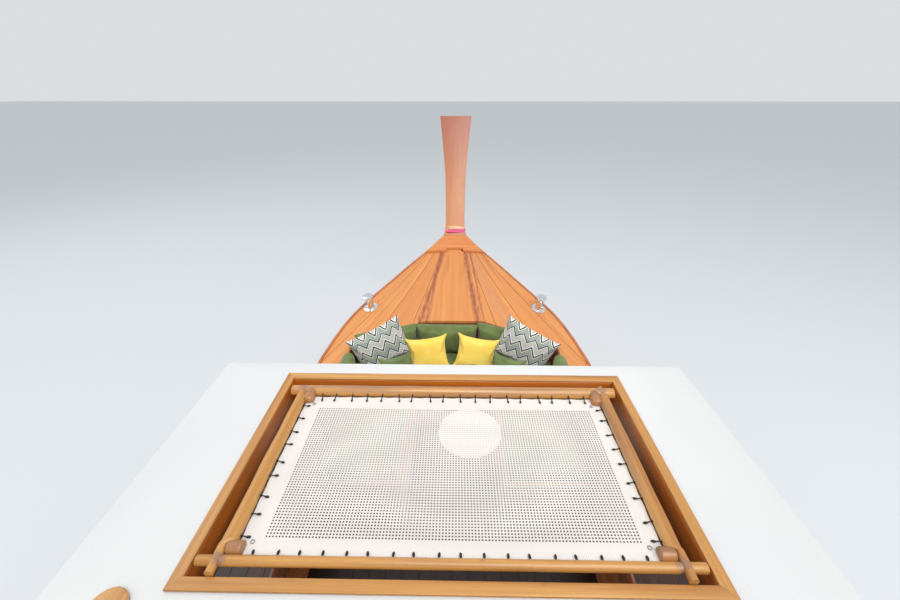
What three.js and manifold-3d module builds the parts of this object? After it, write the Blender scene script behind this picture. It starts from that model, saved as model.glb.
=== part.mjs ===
// Longtail boat with a flat cabin roof, a laced sun net in the roof opening and a bow lounge.
// Millimetres, +X towards the bow, +Y to port, +Z up, origin on the waterline amidships.
import * as THREE from 'three';
import { mergeVertices } from 'three/addons/utils/BufferGeometryUtils.js';
import Module from 'manifold-3d';

const wasm = await Module();
wasm.setup();

// Clearances
const GAP = 0.3;
const JOINT_GAP = 6;

// Hull: the sheer edge and the keel line at each station, and how full the section is.
// Columns: x of the sheer, z of the sheer, half beam, x of the keel, z of the keel, fullness
const HULL_STATIONS = [
  [-6300, 1000, 1120, -6300, -220, 3.4],
  [-5000, 940, 1300, -5000, -330, 3.2],
  [-3500, 900, 1460, -3500, -380, 3.2],
  [-1500, 890, 1580, -1500, -380, 3.2],
  [500, 910, 1610, 500, -380, 3.1],
  [2200, 985, 1600, 2100, -380, 3.1],
  [3350, 1065, 1540, 3150, -372, 2.8],
  [4000, 1170, 1425, 3650, -345, 2.4],
  [4440, 1280, 1258, 4000, -300, 2.1],
  [4800, 1375, 1036, 4350, -220, 1.85],
  [5100, 1470, 820, 4650, -110, 1.65],
  [5380, 1565, 614, 4950, 60, 1.5],
  [5640, 1690, 368, 5210, 300, 1.35],
  [5850, 1800, 185, 5450, 700, 1.2],
];
const SAMPLES_PER_STATION = 2;
const SECTION_STEPS = [1, 0.96, 0.9, 0.82, 0.72, 0.6, 0.45, 0.25, 0];
const KEEL_HALF_WIDTH = 50;
const PLANK_THICKNESS = 36;
const STERN_X = -6300;
const INTERIOR_LAST_STATION = 11;
const INTERIOR_RISE = 400;
const TRANSOM_THICKNESS = 45;

// Keel timber under the hull. Columns: x, z of its bottom face
const KEEL_STATIONS = [
  [-6290, -330],
  [-5000, -430],
  [-3500, -465],
  [2100, -465],
  [3150, -458],
  [3655, -448],
];
const KEEL_BOTTOM_HALF_WIDTH = 44;
const KEEL_CLEARANCE = 0.5;

// Stem timber, from the keel up to its flared head.
// Columns: x and z of the aft edge, x and z of the front edge, half width aft, half width at the front
const STEM_STATIONS = [
  [3656, -345.5, 3660, -450, 50, 40],
  [4300, -235, 4370, -350, 50, 32],
  [4800, -45, 4920, -160, 50, 26],
  [5150, 215, 5310, 130, 52, 24],
  [5450, 700, 5650, 600, 60, 24],
  [5650, 1250, 5960, 1180, 129, 26],
  [5850, 1800, 6240, 1720, 204, 32],
  [5912, 1930, 6396, 1930, 150, 34],
  [5986, 2090, 6486, 2090, 142, 35],
  [6082, 2292, 6594, 2292, 146, 37],
  [6178, 2494, 6698, 2494, 149, 40],
  [6273, 2695, 6787, 2695, 156, 43],
  [6369, 2897, 6864, 2897, 173, 48],
  [6465, 3098, 6928, 3098, 194, 53],
  [6650, 3487, 7022, 3440, 238, 60],
];
const STEM_CLEARANCE = 0.6;
const STEM_MIDDLE = 0.6;

// Rub rail along the sheer. Columns: outboard distance, height above the sheer
const RAIL_PROFILE = [
  [0.4, -60],
  [30, -55],
  [45, -32],
  [45, 15],
  [32, 42],
  [0.4, 45],
];
const RAIL_END_X = 5812;

// Decks
const DECK_THICKNESS = 30;
const DECK_CAMBER = 0.05;
const DECK_DIVISIONS = 4;
const DECK_END_X = 5849.3;
const DECK_INSET = 12;
const DECK_SPLIT_STATION = 6;
const KING_PLANK = { halfWidth: 213, atX: 4360, taper: 0.065, firstStation: 7 };
const OPENING_HALF_WIDTH = 1210;
const OPENING_SHARE = 0.84;
const OPENING_FRONT = { x: 4245, halfWidth: 360, cornerX: 3940 };
const COAMING = { thickness: 20, below: 150, above: 85, endX: 3925 };
const BULKHEAD_THICKNESS = 30;
const BULKHEAD_SETBACK = 1;
const BREASTHOOK = { aftX: 5575, thickness: 42, notchX: 5622, notchHalf: 122 };

// Inside
const SOLE = { low: 220, high: 250, aftX: -4130, foreX: 4200 };
const AFT_DECK = { low: 450, high: 480, foreX: -4100 };
const CABIN_BENCH = { aftX: -3400, foreX: 1500, innerY: 700, low: 595, high: 620, board: 25 };
const CABIN_CUSHION = { innerY: 702, outerY: 1180, thickness: 100 };
const LOUNGE = { aftX: 2300, foreX: 4244, low: 805, high: 830, footwellX: 3590, footwellY: 450, board: 25 };
const SEAT_PAD = { thickness: 120, aftX: 2320, innerY: 470, splitX: 3600, foreX: 4222, edge: 22 };

// Loose cushions on the lounge. Rest angles in degrees; the pillows drop onto the seat pads.
// Columns: name, centre x, centre y, width, height, thickness, turn about the vertical
const BACK_CUSHIONS = [
  ['back_cushion_centre', 4118, 94, 744, 410, 160, 0],
  ['back_cushion_port', 3984, 814, 690, 435, 160, 19.5],
  ['back_cushion_starboard', 4008, -645, 690, 435, 160, -19.5],
  ['side_cushion_port', 3280, 1138, 560, 420, 98, 90],
  ['side_cushion_starboard', 3280, -1138, 560, 420, 98, 90],
];
// Columns: name, centre x, centre y, width, height, thickness, turn, lean, roll, material
const PILLOWS = [
  ['yellow_pillow_port', 3774, 300, 475, 402, 130, 0, 20, 5, 'yellowCloth'],
  ['yellow_pillow_starboard', 3774, -266, 475, 412, 130, 0, 20, -9, 'yellowCloth'],
  ['chevron_pillow_port', 3742, 838, 600, 498, 140, 22, 10, 18, 'chevronCloth'],
  ['chevron_pillow_starboard', 3740, -816, 600, 498, 140, -22, 10, -18, 'chevronCloth'],
  ['green_pillow_port', 3440, 640, 430, 400, 110, 8, 30, 6, 'greenCloth'],
  ['green_pillow_starboard', 3440, -600, 430, 400, 110, -8, 30, -10, 'greenCloth'],
];

// Round lounge table. Columns: radius, z
const TABLE_CENTRE = [2800, -160];
const TABLE_PROFILE = [
  [0, 250.3],
  [170, 250.3],
  [170, 268],
  [45, 290],
  [45, 925],
  [120, 932],
  [300, 934],
  [304, 947],
  [300, 960],
  [0, 960],
];

// Cabin roof and its hoops
const ROOF = { aftX: -3900, foreX: 1830, halfWidth: 1280, low: 2420, high: 2500, corner: 12 };
const ROOF_OPENING = { aftX: 678, foreX: 1704, halfWidth: 874 };
const HOOP_X = [1770, -50, -1850, -3650];
const HOOP = { postY: 1246, postRadius: 30, beamLow: 2350, beamHalf: 30, sides: 12 };
const STEP_PAD = { aftX: 262, foreX: 662, y: 1032, halfWidth: 55, thickness: 22 };

// Net coaming, pole frame and net in the roof opening
const NET_COAMING = {
  outer: [656, 1730, 896],
  inner: [699, 1682, 853],
  liningLow: 2350,
  top: 2512,
};
const POLE = { radius: 30, aftRadius: 19, z: 2510, sides: 10, sideY: 759, aftX: 748, foreX: 1585 };
// Columns: axis, fixed coordinate, from, to, radius of the short corner stubs
const STUBS = [
  ['x', 718, 1490, 1570, 27],
  ['y', 798, 690, 745, 25],
];
const NET = { low: 2497, high: 2503 };

// Deck fittings
const BOLLARD = { x: 4535, y: 1090, sides: 16 };
// Columns: radius, height above the deck
const BOLLARD_PROFILE = [
  [0, -12],
  [92, -12],
  [92, 10],
  [50, 16],
  [46, 40],
  [46, 168],
  [66, 174],
  [66, 188],
  [46, 200],
  [0, 200],
];
const BOLLARD_BAR = { height: 118, reach: 118, radius: 13, ballRadius: 21 };
const RIBBON = { low: 1896, high: 1998, thickness: 13 };

// Stern gear: a beam on the gunwales, a swivel, and the engine with its long tail.
// The tail's own frame has its origin on the trunnion and x along the shaft, towards the bow.
const BED = { aftX: -6130, foreX: -5970, halfWidth: 1090, low: 1086, high: 1165, footY: 990 };
const PIVOT_X = -6050;
const TRUNNION_Z = 1600;
const TAIL_REST_TILT = 14;
const PEDESTAL = { radius: 110, top: 1250, sides: 20 };
const YOKE = { baseHalfX: 150, halfY: 300, plate: 15, baseTop: 1280, armHalfX: 60, armTop: 1660 };
const PIN = { radius: 25, holeRadius: 25.8, sides: 24 };
const SHAFT_Z = -60;
const CRADLE = { railY: 240, railHalf: 22, aftX: -150, foreX: 800, low: -262, high: -218, railLift: 90 };
// Columns: low x, high x, low y, high y, low z, high z
const ENGINE_BLOCK = [62, 760, -170, 170, -217, 160];
const CYLINDER_HEAD = [80, 740, -120, 120, 160.3, 330];
const INTAKE = [120, 700, -226, -119, 180, 290];
const BELL = { aftX: -178, foreX: 61.7, radius: 152, sides: 20 };
const TAIL = { aftX: -4150, foreX: -178.3, radius: 44, boreRadius: 37, sides: 14 };
// Columns: x, z of the fin under the tail's end
const FIN_OUTLINE = [
  [-3500, -90],
  [-4110, -90],
  [-4110, -300],
  [-3980, -330],
];
const FIN_HALF_THICKNESS = 6;
const PULLEY = { aftX: 760.3, foreX: 820, radius: 105, sides: 20 };
// Columns: x, y, z
const EXHAUST_PATH = [
  [600, 84, 240],
  [600, 200, 248],
  [560, 258, 290],
  [420, 268, 380],
  [180, 268, 400],
  [-260, 268, 420],
];
const EXHAUST_RADIUS = 34;
const TILLER_PATH = [
  [690, -242, -150],
  [840, -322, -140],
  [1100, -480, -120],
  [1902, -1051, -190],
];
const TILLER_RADIUS = 20;
const PROPELLER = { hubAft: -4350, hubRadius: 42, bladeReach: 178, bladeHalf: 62, pitch: 32, count: 3 };

const MATERIALS = {
  hullPaint: { color: 0x8a4f2c, roughness: 0.4, metalness: 0 },
  teak: { color: 0xd9924f, roughness: 0.35, metalness: 0 },
  paleTeak: { color: 0xd9a050, roughness: 0.35, metalness: 0 },
  darkTeak: { color: 0x9c5a32, roughness: 0.5, metalness: 0 },
  whitePanel: { color: 0xf4f4f4, roughness: 0.4, metalness: 0 },
  netCloth: { color: 0xf3efec, roughness: 0.9, metalness: 0 },
  greenCloth: { color: 0x6f8b4a, roughness: 0.9, metalness: 0 },
  yellowCloth: { color: 0xffd84a, roughness: 0.9, metalness: 0 },
  chevronCloth: { color: 0xc9cfc4, roughness: 0.9, metalness: 0 },
  ribbonCloth: { color: 0xff6a9c, roughness: 0.6, metalness: 0 },
  stainless: { color: 0xd8dadc, roughness: 0.2, metalness: 1 },
  castIron: { color: 0x39566b, roughness: 0.6, metalness: 0.4 },
  alloy: { color: 0xa8abae, roughness: 0.45, metalness: 0.9 },
  blackSteel: { color: 0x2a2b2d, roughness: 0.5, metalness: 0.6 },
  bronze: { color: 0xb08a4a, roughness: 0.35, metalness: 1 },
};

const materials = Object.fromEntries(
  Object.entries(MATERIALS).map(([name, look]) => [name, new THREE.MeshStandardMaterial(look)]),
);
const boat = new THREE.Group();

// A closed geometry as a solid for cutting and joining
function solidOf(geometry) {
  const bare = new THREE.BufferGeometry();
  bare.setAttribute('position', geometry.getAttribute('position').clone());
  if (geometry.index) bare.setIndex(geometry.index.clone());
  const merged = mergeVertices(bare, 1e-4);
  return new wasm.Manifold(new wasm.Mesh({
    numProp: 3,
    vertProperties: new Float32Array(merged.getAttribute('position').array),
    triVerts: new Uint32Array(merged.index.array),
  }));
}

function geometryOf(solid) {
  const mesh = solid.getMesh();
  const geometry = new THREE.BufferGeometry();
  const positions = new Float32Array(mesh.vertProperties.length);
  positions.set(mesh.vertProperties);
  geometry.setAttribute('position', new THREE.BufferAttribute(positions, 3));
  geometry.setIndex(Array.from(mesh.triVerts));
  geometry.computeVertexNormals();
  return geometry;
}

function addPiece(name, solid, material, parent = boat) {
  const mesh = new THREE.Mesh(geometryOf(solid), materials[material]);
  mesh.name = name;
  parent.add(mesh);
  return mesh;
}

function union(solids) {
  return solids.reduce((sum, solid) => sum.add(solid));
}

// Twice the signed area of a ring seen along its dominant axis, and the ring in that plane
function flatten(ring) {
  const normal = new THREE.Vector3();
  ring.forEach((p, i) => normal.add(p.clone().cross(ring[(i + 1) % ring.length])));
  const sizes = [Math.abs(normal.x), Math.abs(normal.y), Math.abs(normal.z)];
  const drop = sizes.indexOf(Math.max(...sizes));
  const keep = [['y', 'z'], ['z', 'x'], ['x', 'y']][drop];
  return ring.map((p) => new THREE.Vector2(p[keep[0]], p[keep[1]]));
}

// Triangles of a ring's cap, wound the way the ring runs
function capTriangles(ring) {
  const contour = flatten(ring);
  const sign = Math.sign(THREE.ShapeUtils.area(contour));
  return THREE.ShapeUtils.triangulateShape(contour, []).map((face) => {
    const area = THREE.ShapeUtils.area(face.map((i) => contour[i]));
    return Math.sign(area) === sign ? face : [face[0], face[2], face[1]];
  });
}

// Closed solid through a row of rings with the same number of points
function loft(rings) {
  const count = rings[0].length;
  const index = [];
  for (let i = 0; i + 1 < rings.length; i += 1) {
    for (let j = 0; j < count; j += 1) {
      const a = i * count + j;
      const b = i * count + ((j + 1) % count);
      index.push(a, b, b + count, a, b + count, a + count);
    }
  }
  capTriangles(rings[0]).forEach(([a, b, c]) => index.push(a, c, b));
  const last = (rings.length - 1) * count;
  capTriangles(rings[rings.length - 1]).forEach(([a, b, c]) => index.push(last + a, last + b, last + c));
  const points = rings.flat();
  let volume = 0;
  for (let i = 0; i < index.length; i += 3) {
    const [p, q, r] = [points[index[i]], points[index[i + 1]], points[index[i + 2]]];
    volume += p.dot(q.clone().cross(r));
  }
  if (volume < 0) {
    index.reverse();
  }
  const geometry = new THREE.BufferGeometry();
  geometry.setAttribute('position', new THREE.Float32BufferAttribute(points.flatMap((p) => p.toArray()), 3));
  geometry.setIndex(index);
  return solidOf(geometry);
}

function box(lowX, highX, lowY, highY, lowZ, highZ) {
  const geometry = new THREE.BoxGeometry(highX - lowX, highY - lowY, highZ - lowZ);
  geometry.translate((lowX + highX) / 2, (lowY + highY) / 2, (lowZ + highZ) / 2);
  return solidOf(geometry);
}

// Round bar between two points given as [x, y, z]
function bar(from, to, radius, sides, endRadius = radius) {
  const start = new THREE.Vector3(...from);
  const along = new THREE.Vector3(...to).sub(start);
  const geometry = new THREE.CylinderGeometry(endRadius, radius, along.length(), sides);
  const turn = new THREE.Quaternion().setFromUnitVectors(new THREE.Vector3(0, 1, 0), along.clone().normalize());
  geometry.applyQuaternion(turn);
  geometry.translate(...start.addScaledVector(along, 0.5).toArray());
  return solidOf(geometry);
}

// Plan outline given as [x, y] pairs, standing between two heights
function prism(outline, lowZ, highZ) {
  const shape = new THREE.Shape(outline.map(([x, y]) => new THREE.Vector2(x, y)));
  const geometry = new THREE.ExtrudeGeometry(shape, { depth: highZ - lowZ, bevelEnabled: false });
  geometry.translate(0, 0, lowZ);
  return solidOf(geometry);
}

// Side outline given as [x, z] pairs, between two y values
function sidePlate(outline, lowY, highY) {
  const shape = new THREE.Shape(outline.map(([x, z]) => new THREE.Vector2(x, z)));
  const geometry = new THREE.ExtrudeGeometry(shape, { depth: highY - lowY, bevelEnabled: false });
  geometry.rotateX(Math.PI / 2);
  geometry.translate(0, highY, 0);
  return solidOf(geometry);
}

// Body turned about the vertical through [x, y]; profile rows are radius and z
function turned(profile, sides, x = 0, y = 0) {
  const points = profile.map(([radius, z]) => new THREE.Vector2(radius, z));
  const geometry = new THREE.LatheGeometry(points, sides);
  geometry.rotateX(Math.PI / 2);
  geometry.translate(x, y, 0);
  return solidOf(geometry);
}

// Round tube along a smooth path of [x, y, z] points
function tube(path, radius, sides, steps) {
  const curve = new THREE.CatmullRomCurve3(path.map((p) => new THREE.Vector3(...p)), false, 'centripetal');
  const section = Array.from({ length: sides }, (_, i) => {
    const angle = (i * 2 * Math.PI) / sides;
    return new THREE.Vector2(radius * Math.cos(angle), radius * Math.sin(angle));
  });
  const geometry = new THREE.ExtrudeGeometry(new THREE.Shape(section), { steps, extrudePath: curve });
  return solidOf(geometry);
}

// Sheer, half beam, keel and fullness at every sample along the hull
function hullSamples() {
  const sheer = new THREE.CatmullRomCurve3(
    HULL_STATIONS.map(([x, z, half]) => new THREE.Vector3(x, z, half)), false, 'catmullrom', 0.5,
  );
  const keel = new THREE.CatmullRomCurve3(
    HULL_STATIONS.map(([, , , x, z, fullness]) => new THREE.Vector3(x, z, fullness)), false, 'catmullrom', 0.5,
  );
  const count = (HULL_STATIONS.length - 1) * SAMPLES_PER_STATION;
  return Array.from({ length: count + 1 }, (_, i) => {
    const top = sheer.getPoint(i / count);
    const low = keel.getPoint(i / count);
    return { x: top.x, z: top.y, half: top.z, keelX: low.x, keelZ: low.y, fullness: low.z };
  });
}

const samples = hullSamples();

// One side of a hull section moved inwards by the planking, from the sheer to the keel
function sectionSide(sample, inset, side) {
  return SECTION_STEPS.map((step) => {
    const rise = step ** sample.fullness;
    const acrossRate = sample.half - KEEL_HALF_WIDTH;
    const riseRate = (sample.z - sample.keelZ) * sample.fullness * step ** (sample.fullness - 1);
    const length = Math.hypot(acrossRate, riseRate);
    const y = KEEL_HALF_WIDTH + acrossRate * step - (inset * riseRate) / length;
    const z = sample.keelZ + (sample.z - sample.keelZ) * rise + (inset * acrossRate) / length;
    const x = sample.keelX + (sample.x - sample.keelX) * rise;
    return new THREE.Vector3(x, side * y, z);
  });
}

function hullRing(sample, inset = 0) {
  return [...sectionSide(sample, inset, 1), ...sectionSide(sample, inset, -1).reverse()];
}

// Space inside the planking, open upwards past the sheer and past the stern
function interior(inset) {
  const rings = samples.slice(0, INTERIOR_LAST_STATION * SAMPLES_PER_STATION + 1).map((sample) => {
    const ring = hullRing(sample, inset);
    const lift = new THREE.Vector3(0, 0, INTERIOR_RISE);
    return [ring[0].clone().add(lift), ...ring, ring[ring.length - 1].clone().add(lift)];
  });
  const behind = rings[0].map((p) => p.clone().setX(STERN_X - 100));
  return loft([behind, ...rings]);
}

const outerHull = loft(samples.map((sample) => hullRing(sample)));
const interiorFit = interior(PLANK_THICKNESS + GAP);

// Deck surface: straight samples along the boat, cambered across
function sampleAt(x) {
  const next = Math.max(1, samples.findIndex((sample) => sample.x >= x));
  const [a, b] = [samples[next - 1], samples[next]];
  const t = (x - a.x) / (b.x - a.x);
  return { x, z: a.z + (b.z - a.z) * t, half: a.half + (b.half - a.half) * t };
}

function deckTop(sample, y) {
  return sample.z + GAP + DECK_THICKNESS + DECK_CAMBER * sample.half * (1 - (y / sample.half) ** 2);
}

// Strip over the hull between two samples; inner, outer, low and high are functions of the sample
function deckBand(first, last, inner, outer, low, high) {
  const rings = samples.slice(first, last + 1).map((sample) => {
    const ys = Array.from({ length: DECK_DIVISIONS + 1 }, (_, i) => {
      const t = i / DECK_DIVISIONS;
      return inner(sample) * (1 - t) + outer(sample) * t;
    });
    const upper = ys.map((y) => new THREE.Vector3(sample.x, y, high(sample, y)));
    const lower = ys.map((y) => new THREE.Vector3(sample.x, y, low(sample, y)));
    return [...upper, ...lower.reverse()];
  });
  return loft(rings);
}

function wholeDeckBand(low, high) {
  return deckBand(0, samples.length - 1, (s) => -s.half - 60, (s) => s.half + 60, low, high);
}

const underDeck = wholeDeckBand(() => -900, (s, y) => deckTop(s, y) - DECK_INSET);

// Plan outline of the well between the decks, shrunk by an offset
function openingOutline(offset) {
  const side = samples
    .filter((sample) => sample.x < OPENING_FRONT.cornerX - 100)
    .map((sample) => [sample.x, Math.min(OPENING_HALF_WIDTH, OPENING_SHARE * sample.half) - offset]);
  const { x, halfWidth, cornerX } = OPENING_FRONT;
  const along = new THREE.Vector2(cornerX - x, OPENING_HALF_WIDTH - halfWidth);
  const slant = along.length() / along.y;
  const turn = (slant - Math.abs(along.x) / along.y) * offset;
  const port = [
    [STERN_X - 100, side[0][1]],
    ...side,
    [cornerX - offset * slant + (offset * Math.abs(along.x)) / along.y, OPENING_HALF_WIDTH - offset],
    [x - offset, halfWidth - turn],
  ];
  const starboard = port.map(([px, py]) => [px, -py]).reverse();
  return [...port, ...starboard];
}

const openingPrism = (offset) => prism(openingOutline(offset), -700, 2200);
const portHalf = box(-8000, 8000, GAP / 2, 3000, -1000, 4000);
const starboardHalf = box(-8000, 8000, -3000, -GAP / 2, -1000, 4000);
const halves = [['port', 1, portHalf], ['starboard', -1, starboardHalf]];

function hull() {
  const shell = outerHull.subtract(interior(PLANK_THICKNESS));
  addPiece('hull_shell', shell, 'hullPaint');

  const stern = hullRing(samples[0]);
  const plate = [STERN_X - TRANSOM_THICKNESS - GAP, STERN_X - GAP]
    .map((x) => stern.map((p) => p.clone().setX(x)));
  addPiece('transom', loft(plate), 'darkTeak');
}

function keelZAt(x) {
  const next = samples.findIndex((sample) => sample.keelX >= x);
  const [a, b] = next > 0 ? [samples[next - 1], samples[next]] : [samples[0], samples[1]];
  return a.keelZ + ((b.keelZ - a.keelZ) * (x - a.keelX)) / (b.keelX - a.keelX);
}

function keel() {
  const stops = samples.map((sample) => sample.keelX).filter((x) => x > -6280 && x < 3600);
  const rings = [KEEL_STATIONS[0][0], ...stops, KEEL_STATIONS.at(-1)[0] - 5].map((x) => {
    const next = Math.max(1, KEEL_STATIONS.findIndex(([stationX]) => stationX >= x));
    const [[ax, az], [bx, bz]] = [KEEL_STATIONS[next - 1], KEEL_STATIONS[next]];
    const low = az + ((bz - az) * (x - ax)) / (bx - ax);
    const top = keelZAt(x) - KEEL_CLEARANCE;
    return [
      new THREE.Vector3(x, KEEL_HALF_WIDTH, top),
      new THREE.Vector3(x, -KEEL_HALF_WIDTH, top),
      new THREE.Vector3(x, -KEEL_BOTTOM_HALF_WIDTH, low),
      new THREE.Vector3(x, KEEL_BOTTOM_HALF_WIDTH, low),
    ];
  });
  addPiece('keel', loft(rings).subtract(outerHull), 'darkTeak');
}

// Six-sided section of the stem, grown outwards
function stemRing([aftX, aftZ, foreX, foreZ, aftHalf, foreHalf], grow) {
  const aft = new THREE.Vector3(aftX, 0, aftZ);
  const fore = new THREE.Vector3(foreX, 0, foreZ);
  const along = fore.clone().sub(aft).normalize();
  aft.addScaledVector(along, -grow);
  fore.addScaledVector(along, grow);
  const middle = aft.clone().lerp(fore, STEM_MIDDLE);
  const middleHalf = foreHalf + (aftHalf - foreHalf) * 0.72;
  const at = (point, y) => new THREE.Vector3(point.x, y, point.z);
  return [
    at(aft, aftHalf + grow),
    at(aft, -aftHalf - grow),
    at(middle, -middleHalf - grow),
    at(fore, -foreHalf - grow),
    at(fore, foreHalf + grow),
    at(middle, middleHalf + grow),
  ];
}

const stemGrown = (grow) => loft(STEM_STATIONS.map((row) => stemRing(row, grow)));

function stem() {
  const body = stemGrown(0);
  const hullGrown = loft(samples.map((sample) => hullRing(sample, -STEM_CLEARANCE)));
  addPiece('stem_post', body.subtract(hullGrown), 'teak');

  const { low, high, thickness } = RIBBON;
  const sleeve = stemGrown(thickness).intersect(box(5000, 8000, -1000, 1000, low, high));
  addPiece('stem_ribbon', sleeve.subtract(stemGrown(GAP)), 'ribbonCloth');
}

function rubRails() {
  halves.forEach(([side, sign]) => {
    const rings = samples.map((sample, i) => {
      const before = samples[Math.max(0, i - 1)];
      const after = samples[Math.min(samples.length - 1, i + 1)];
      const along = new THREE.Vector2(after.x - before.x, after.half - before.half).normalize();
      return RAIL_PROFILE.map(([out, up]) => new THREE.Vector3(
        sample.x - along.y * out, sign * (sample.half + along.x * out), sample.z + up,
      ));
    });
    const rail = loft(rings).intersect(box(-7000, RAIL_END_X, -3000, 3000, 0, 3000));
    addPiece(`rub_rail_${side}`, rail, 'teak');
  });
}

function deckPieces() {
  const top = (s, y) => deckTop(s, y);
  const low = (s, y) => deckTop(s, y) - DECK_THICKNESS;
  const split = DECK_SPLIT_STATION * SAMPLES_PER_STATION;
  const kingFirst = KING_PLANK.firstStation * SAMPLES_PER_STATION;
  const kingHalf = (s) => KING_PLANK.halfWidth - KING_PLANK.taper * (s.x - KING_PLANK.atX);
  const opening = openingPrism(0);
  const ahead = box(samples[split].x + GAP, DECK_END_X, -3000, 3000, -1000, 3000);
  const sides = halves.flatMap(([side, sign]) => {
    const sideDeck = deckBand(0, split, () => sign * 800, (s) => sign * s.half, low, top);
    const fore = deckBand(split, samples.length - 1, (s) => sign * (kingHalf(s) + GAP),
      (s) => sign * s.half, low, top);
    return [
      [`side_deck_${side}`, sideDeck.subtract(opening)],
      [`foredeck_${side}`, fore.subtract(opening).intersect(ahead)],
    ];
  });
  const king = deckBand(kingFirst, samples.length - 1, (s) => -kingHalf(s), kingHalf, low, top);
  return [...sides, ['king_plank', king.subtract(opening).intersect(ahead)]];
}

const deckSolids = deckPieces();

// What stands on the decks, or under them, cut back to a small gap
function clearOfDecks(solid, gap = GAP) {
  return deckSolids.reduce((rest, [, deck]) => rest.subtract(deck.translate([0, 0, gap])), solid);
}

function decks() {
  deckSolids.forEach(([name, solid]) => addPiece(name, solid, 'teak'));

  const { aftX, thickness, notchX, notchHalf } = BREASTHOOK;
  const first = (HULL_STATIONS.length - 3) * SAMPLES_PER_STATION;
  const hook = deckBand(first, samples.length - 1, (s) => -s.half, (s) => s.half,
    (s, y) => deckTop(s, y) - DECK_INSET, (s, y) => deckTop(s, y) + thickness);
  const reach = box(aftX, DECK_END_X, -1000, 1000, 0, 3000);
  const notch = box(aftX - 10, notchX, -notchHalf, notchHalf, 0, 3000);
  addPiece('breasthook', clearOfDecks(hook).intersect(reach).subtract(notch), 'teak');
}

function coamingsAndBulkhead() {
  const { thickness, below, above, endX } = COAMING;
  const ring = openingPrism(GAP).subtract(openingPrism(GAP + thickness));
  const height = wholeDeckBand((s) => s.z - below, (s) => s.z + above);
  const reach = box(STERN_X + 1, endX, -3000, 3000, 0, 3000);
  const coaming = ring.intersect(height).intersect(reach);
  halves.forEach(([side, , half]) => {
    addPiece(`coaming_${side}`, coaming.intersect(half), 'teak');
  });

  const wall = openingPrism(-BULKHEAD_THICKNESS).subtract(openingPrism(-BULKHEAD_SETBACK))
    .intersect(box(endX + GAP, 5000, -3000, 3000, -1000, 3000));
  const wings = box(endX + GAP, endX + GAP + BULKHEAD_THICKNESS, -1700, 1700, -1000, 3000)
    .subtract(box(3000, 5000, -OPENING_HALF_WIDTH, OPENING_HALF_WIDTH, -1001, 3001));
  const bulkhead = wall.add(wings).intersect(interiorFit).intersect(underDeck);
  addPiece('fore_bulkhead', clearOfDecks(bulkhead, -GAP), 'darkTeak');
}

function floors() {
  const sole = box(SOLE.aftX, SOLE.foreX, -1700, 1700, SOLE.low, SOLE.high);
  const forward = box(3000, 5000, -2000, 2000, -500, 2000).subtract(openingPrism(GAP));
  addPiece('cabin_sole', sole.intersect(interiorFit).subtract(forward), 'teak');

  const riserThickness = AFT_DECK.high - AFT_DECK.low;
  const boards = box(STERN_X + 1, AFT_DECK.foreX, -1700, 1700, AFT_DECK.low, AFT_DECK.high);
  const riser = box(AFT_DECK.foreX - riserThickness + 1, AFT_DECK.foreX, -1700, 1700,
    SOLE.high + GAP, AFT_DECK.high);
  addPiece('aft_deck', boards.add(riser).intersect(interiorFit), 'teak');
}

function cabinBenches() {
  const { aftX, foreX, innerY, low, high, board } = CABIN_BENCH;
  halves.forEach(([side, sign]) => {
    const across = (near, far) => [sign * near, sign * far].sort((a, b) => a - b);
    const seat = box(aftX, foreX, ...across(innerY, 1700), low, high);
    const front = box(aftX, foreX, ...across(innerY, innerY + board), SOLE.high + GAP, high);
    addPiece(`bench_${side}`, seat.add(front).intersect(interiorFit), 'paleTeak');
    const cushion = softBlock(foreX - aftX - 4, CABIN_CUSHION.outerY - CABIN_CUSHION.innerY,
      CABIN_CUSHION.thickness, 22);
    const middleY = (sign * (CABIN_CUSHION.innerY + CABIN_CUSHION.outerY)) / 2;
    addPiece(`bench_cushion_${side}`,
      cushion.translate([(aftX + foreX) / 2, middleY, high + GAP]), 'greenCloth');
  });
}

const CORNER_SHARE = 0.6;

// Block with eased edges, standing on z = 0 about its middle
function softBlock(lengthX, widthY, height, ease) {
  const ring = (inset, z) => {
    const x = lengthX / 2 - inset;
    const y = widthY / 2 - inset;
    const cut = ease * CORNER_SHARE;
    return [[x, y - cut], [x - cut, y], [cut - x, y], [-x, y - cut],
      [-x, cut - y], [cut - x, -y], [x - cut, -y], [x, cut - y]]
      .map(([px, py]) => new THREE.Vector3(px, py, z));
  };
  return loft([ring(ease, 0), ring(0, ease), ring(0, height - ease), ring(ease, height)]);
}

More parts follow.
